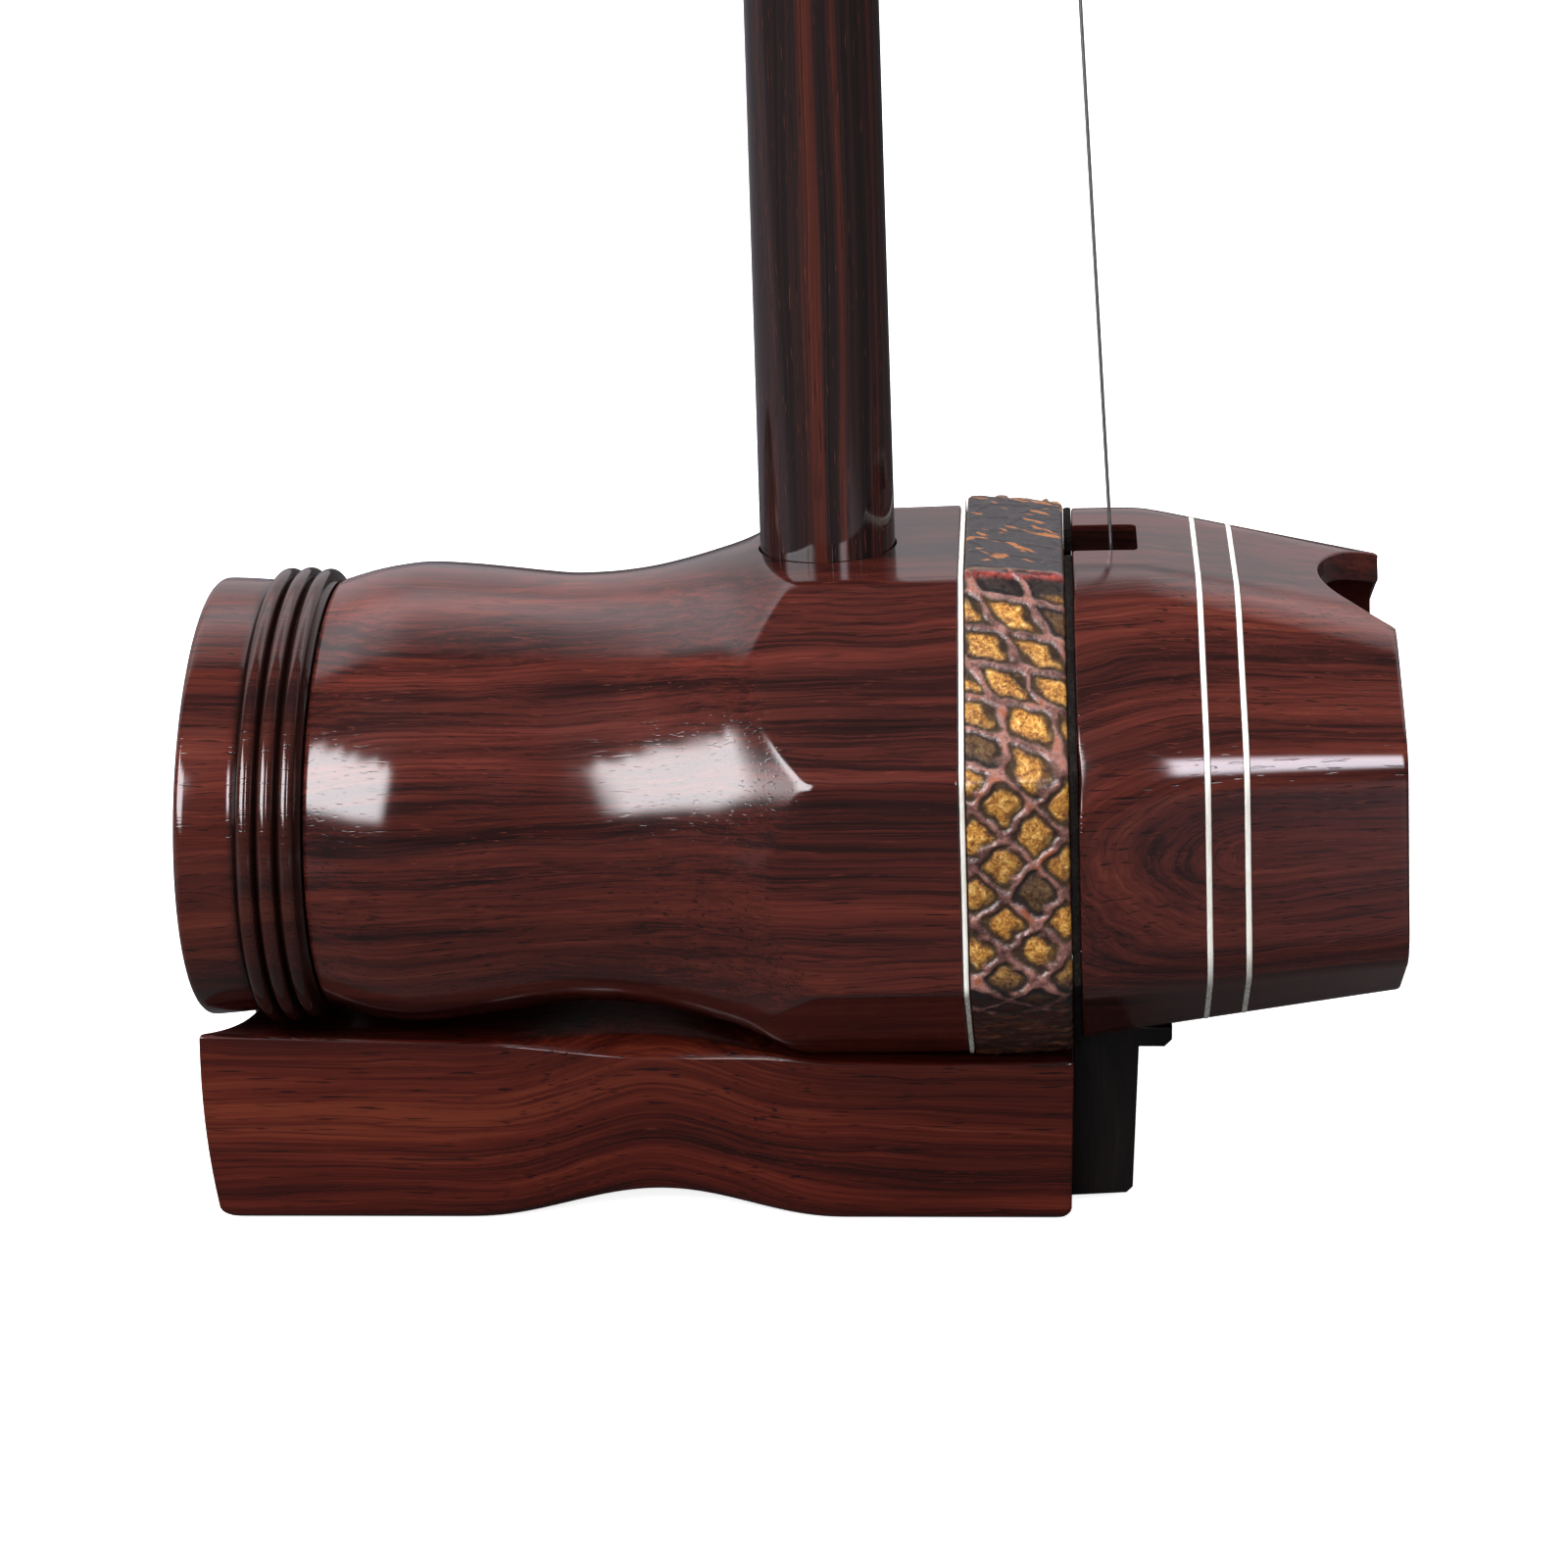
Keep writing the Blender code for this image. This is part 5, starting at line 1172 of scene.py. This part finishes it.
def emitter_floor():
    g = Net("pale_floor")
    g.set(Base_Color=(0.80, 0.80, 0.80), Roughness=0.9, Specular_IOR_Level=0.0)
    lp = g.node("ShaderNodeLightPath")
    glow = g.node("ShaderNodeEmission", {"Color": (1, 1, 1, 1), "Strength": 0.86})
    shown = g.node("ShaderNodeAddShader", {0: g.bsdf.outputs[0], 1: glow.outputs[0]})
    dim = g.node("ShaderNodeBsdfDiffuse", {"Color": (0.07, 0.068, 0.072, 1)})
    fx, fy, _ = g.mm()
    dx, dy = g.mul(g.add(fx, -150.0), 1 / 55.0), g.mul(g.add(fy, 225.0), 1 / 90.0)
    right = g.math("POWER", 2.718, g.mul(g.add(g.mul(dx, dx), g.mul(dy, dy)), -1.0))
    left = g.mul(g.span(fx, -170.0, -260.0), g.span(fy, -260.0, -160.0))
    card = g.node("ShaderNodeEmission", {"Color": (0.86, 0.84, 1.0, 1), "Strength": g.mad(right, 0.75, g.mul(left, 0.30))})
    dim = g.node("ShaderNodeAddShader", {0: dim.outputs[0], 1: card.outputs[0]})
    soft = g.node("ShaderNodeBsdfDiffuse", {"Color": (0.16, 0.16, 0.16, 1)})
    other = g.node("ShaderNodeMixShader", {0: lp.outputs["Is Glossy Ray"], 1: soft.outputs[0], 2: dim.outputs[0]})
    n = g.node("ShaderNodeMixShader", {0: lp.outputs["Is Camera Ray"], 1: other.outputs[0], 2: shown.outputs[0]})
    g.nt.links.new(n.outputs[0], g.out.inputs[0])
    return g.mat


me = bpy.data.meshes.new("floor")
bm = bmesh.new()
bmesh.ops.create_grid(bm, x_segments=24, y_segments=24, size=6.0)
bm.to_mesh(me)
bm.free()
floor = bpy.data.objects.new("floor", me)
floor.location = (0, 0, -0.0002)
me.materials.append(emitter_floor())
col.objects.link(floor)

world = bpy.data.worlds.new("studio")
scene.world = world
world.use_nodes = True
nt = world.node_tree
nt.nodes.clear()
W = Net.__new__(Net)
W.nt = nt
out = nt.nodes.new("ShaderNodeOutputWorld")
lp = W.node("ShaderNodeLightPath")
inc = W.node("ShaderNodeTexCoord").outputs["Generated"]
sep = W.node("ShaderNodeSeparateXYZ", {0: inc})
# in reflections the ceiling just beyond the zenith is brightest, the wall behind it is softer and the studio in front is dark
back = W.span(sep.outputs[1], 0.02, 0.16)
level = W.ramp(sep.outputs[2], [(0.0, (0.25,) * 3), (0.12, (0.32,) * 3), (0.35, (0.40,) * 3), (0.55, (0.42,) * 3), (0.70, (0.85,) * 3),
                                (0.80, (1.0,) * 3), (0.90, (0.62,) * 3), (0.97, (0.30,) * 3), (1.0, (0.12,) * 3)])
seen = W.mad(W.mul(back, level), 2.2, 0.10)
glossy = W.node("ShaderNodeBackground", {"Color": (1, 0.93, 0.97, 1), "Strength": seen})
above = W.span(sep.outputs[2], 0.1, 1.0, 0.18, 1.75)
diffuse = W.node("ShaderNodeBackground", {"Color": (1, 0.985, 0.985, 1), "Strength": above})
camera_bg = W.node("ShaderNodeBackground", {"Color": (1, 1, 1, 1), "Strength": 1.0})
n1 = W.node("ShaderNodeMixShader", {0: lp.outputs["Is Glossy Ray"], 1: diffuse.outputs[0], 2: glossy.outputs[0]})
n2 = W.node("ShaderNodeMixShader", {0: lp.outputs["Is Camera Ray"], 1: n1.outputs[0], 2: camera_bg.outputs[0]})
nt.links.new(n2.outputs[0], out.inputs[0])

CENTRE = Vector((-0.024, 0, 0.066))


def softbox(name, azimuth, elevation, dist, w, h, radiance, role="both", edge=0.25, colour=(1, 1, 1), teeth=0):
    """A rectangular light aimed at the box, fading towards its rim. Azimuth 0 is on the camera's side (-Y), positive towards +X."""
    a, e = math.radians(azimuth), math.radians(elevation)
    to = Vector((math.sin(a) * math.cos(e), -math.cos(a) * math.cos(e), math.sin(e)))
    li = bpy.data.lights.new(name, "AREA")
    li.shape, li.size, li.size_y = "RECTANGLE", w, h
    li.energy = radiance * math.pi * w * h
    li.color = colour
    li.use_nodes = True
    N = Net.__new__(Net)
    N.nt = li.node_tree
    N.nt.nodes.clear()
    uv = N.node("ShaderNodeSeparateXYZ", {0: N.node("ShaderNodeNewGeometry").outputs["Parametric"]})
    u, v = uv.outputs[0], uv.outputs[1]
    if teeth:
        wave = N.math("ABSOLUTE", N.math("SINE", N.mul(u, 3.14159 * teeth)))
        v = N.add(v, N.mul(N.mul(wave, N.span(v, 0.5, 0.8)), 0.09))
    fade = None
    for o in (u, v):
        d = N.math("ABSOLUTE", N.add(o, -0.5))
        f = N.span(d, 0.5, 0.5 - edge)
        fade = f if fade is None else N.mul(fade, f)
    em = N.node("ShaderNodeEmission", {"Color": (1, 1, 1, 1), "Strength": fade})
    o = N.node("ShaderNodeOutputLight")
    N.nt.links.new(em.outputs[0], o.inputs[0])
    ob = bpy.data.objects.new(name, li)
    ob.location = CENTRE + to * dist
    ob.rotation_mode = "QUATERNION"
    ob.rotation_quaternion = to.to_track_quat("Z", "Y")
    ob.visible_camera = False
    ob.visible_diffuse = role != "shine"
    ob.visible_glossy = role != "fill"
    col.objects.link(ob)
    return ob


softbox("key_shine", -39.5, 20.5, 1.0, 0.82, 0.60, 16.0, "shine", 0.18, (1, 0.97, 1), teeth=6)
softbox("key_fill", -32, 50, 1.0, 0.8, 0.8, 10.0, "fill")
softbox("strip_shine", 18, 24, 1.2, 0.26, 0.66, 20.0, "shine", 0.35, (0.95, 0.90, 1.0))
softbox("overhead", 10, 82, 1.3, 0.6, 0.5, 2.0, "fill")

cam = bpy.data.cameras.new("camera")
cam_ob = bpy.data.objects.new("camera", cam)
col.objects.link(cam_ob)
scene.camera = cam_ob
YAW, PITCH, ROLL = -0.0160728, 0.1568662, -0.0184278
TX, TY, DIST, FPX, CX, CY = 851.676, 792.410, 621.983, 3904.676, 1121.586, -264.729
GROW, GX, GY = 1.0047, 780.0, 700.0
cyw, syw, ce, se = math.cos(YAW), math.sin(YAW), math.cos(PITCH), math.sin(PITCH)
look = Vector((-syw * ce, cyw * ce, -se))
right = Vector((cyw, syw, 0))
upv = right.cross(look)
r2 = right * math.cos(ROLL) + upv * math.sin(ROLL)
u2 = upv * math.cos(ROLL) - right * math.sin(ROLL)
ox, oy = (TX - CX) / FPX * DIST, -(TY - CY) / FPX * DIST
centre = -(r2 * ox + u2 * oy + look * DIST) * 0.001
rot = Matrix((r2, u2, -look)).transposed().to_4x4()
cam_ob.rotation_mode = "QUATERNION"
cam_ob.matrix_world = TILT @ Matrix.Translation(centre) @ rot
cam.sensor_width = 36.0
cam.lens = FPX * GROW * 36.0 / 1600.0
cam.clip_start, cam.clip_end = 0.02, 50.0
bpy.context.view_layer.update()
at = cam_ob.matrix_world.translation.copy()
# the lens is shifted only where the camera stands for the main picture, so that other views stay centred
for prop, value in (("shift_x", (800 - GX - GROW * (CX - GX)) / 1600), ("shift_y", (GY + GROW * (CY - GY) - 800) / 1600)):
    setattr(cam, prop, value)
    drv = cam.driver_add(prop).driver
    drv.type = "SCRIPTED"
    for i, axis in enumerate("XYZ"):
        v = drv.variables.new()
        v.name = "p" + axis.lower()
        v.type = "TRANSFORMS"
        v.targets[0].id = cam_ob
        v.targets[0].transform_type = "LOC_" + axis
        v.targets[0].transform_space = "WORLD_SPACE"
    drv.expression = "%.5f if abs(px - (%.5f)) + abs(py - (%.5f)) + abs(pz - (%.5f)) < 0.001 else 0.0" % (value, at.x, at.y, at.z)
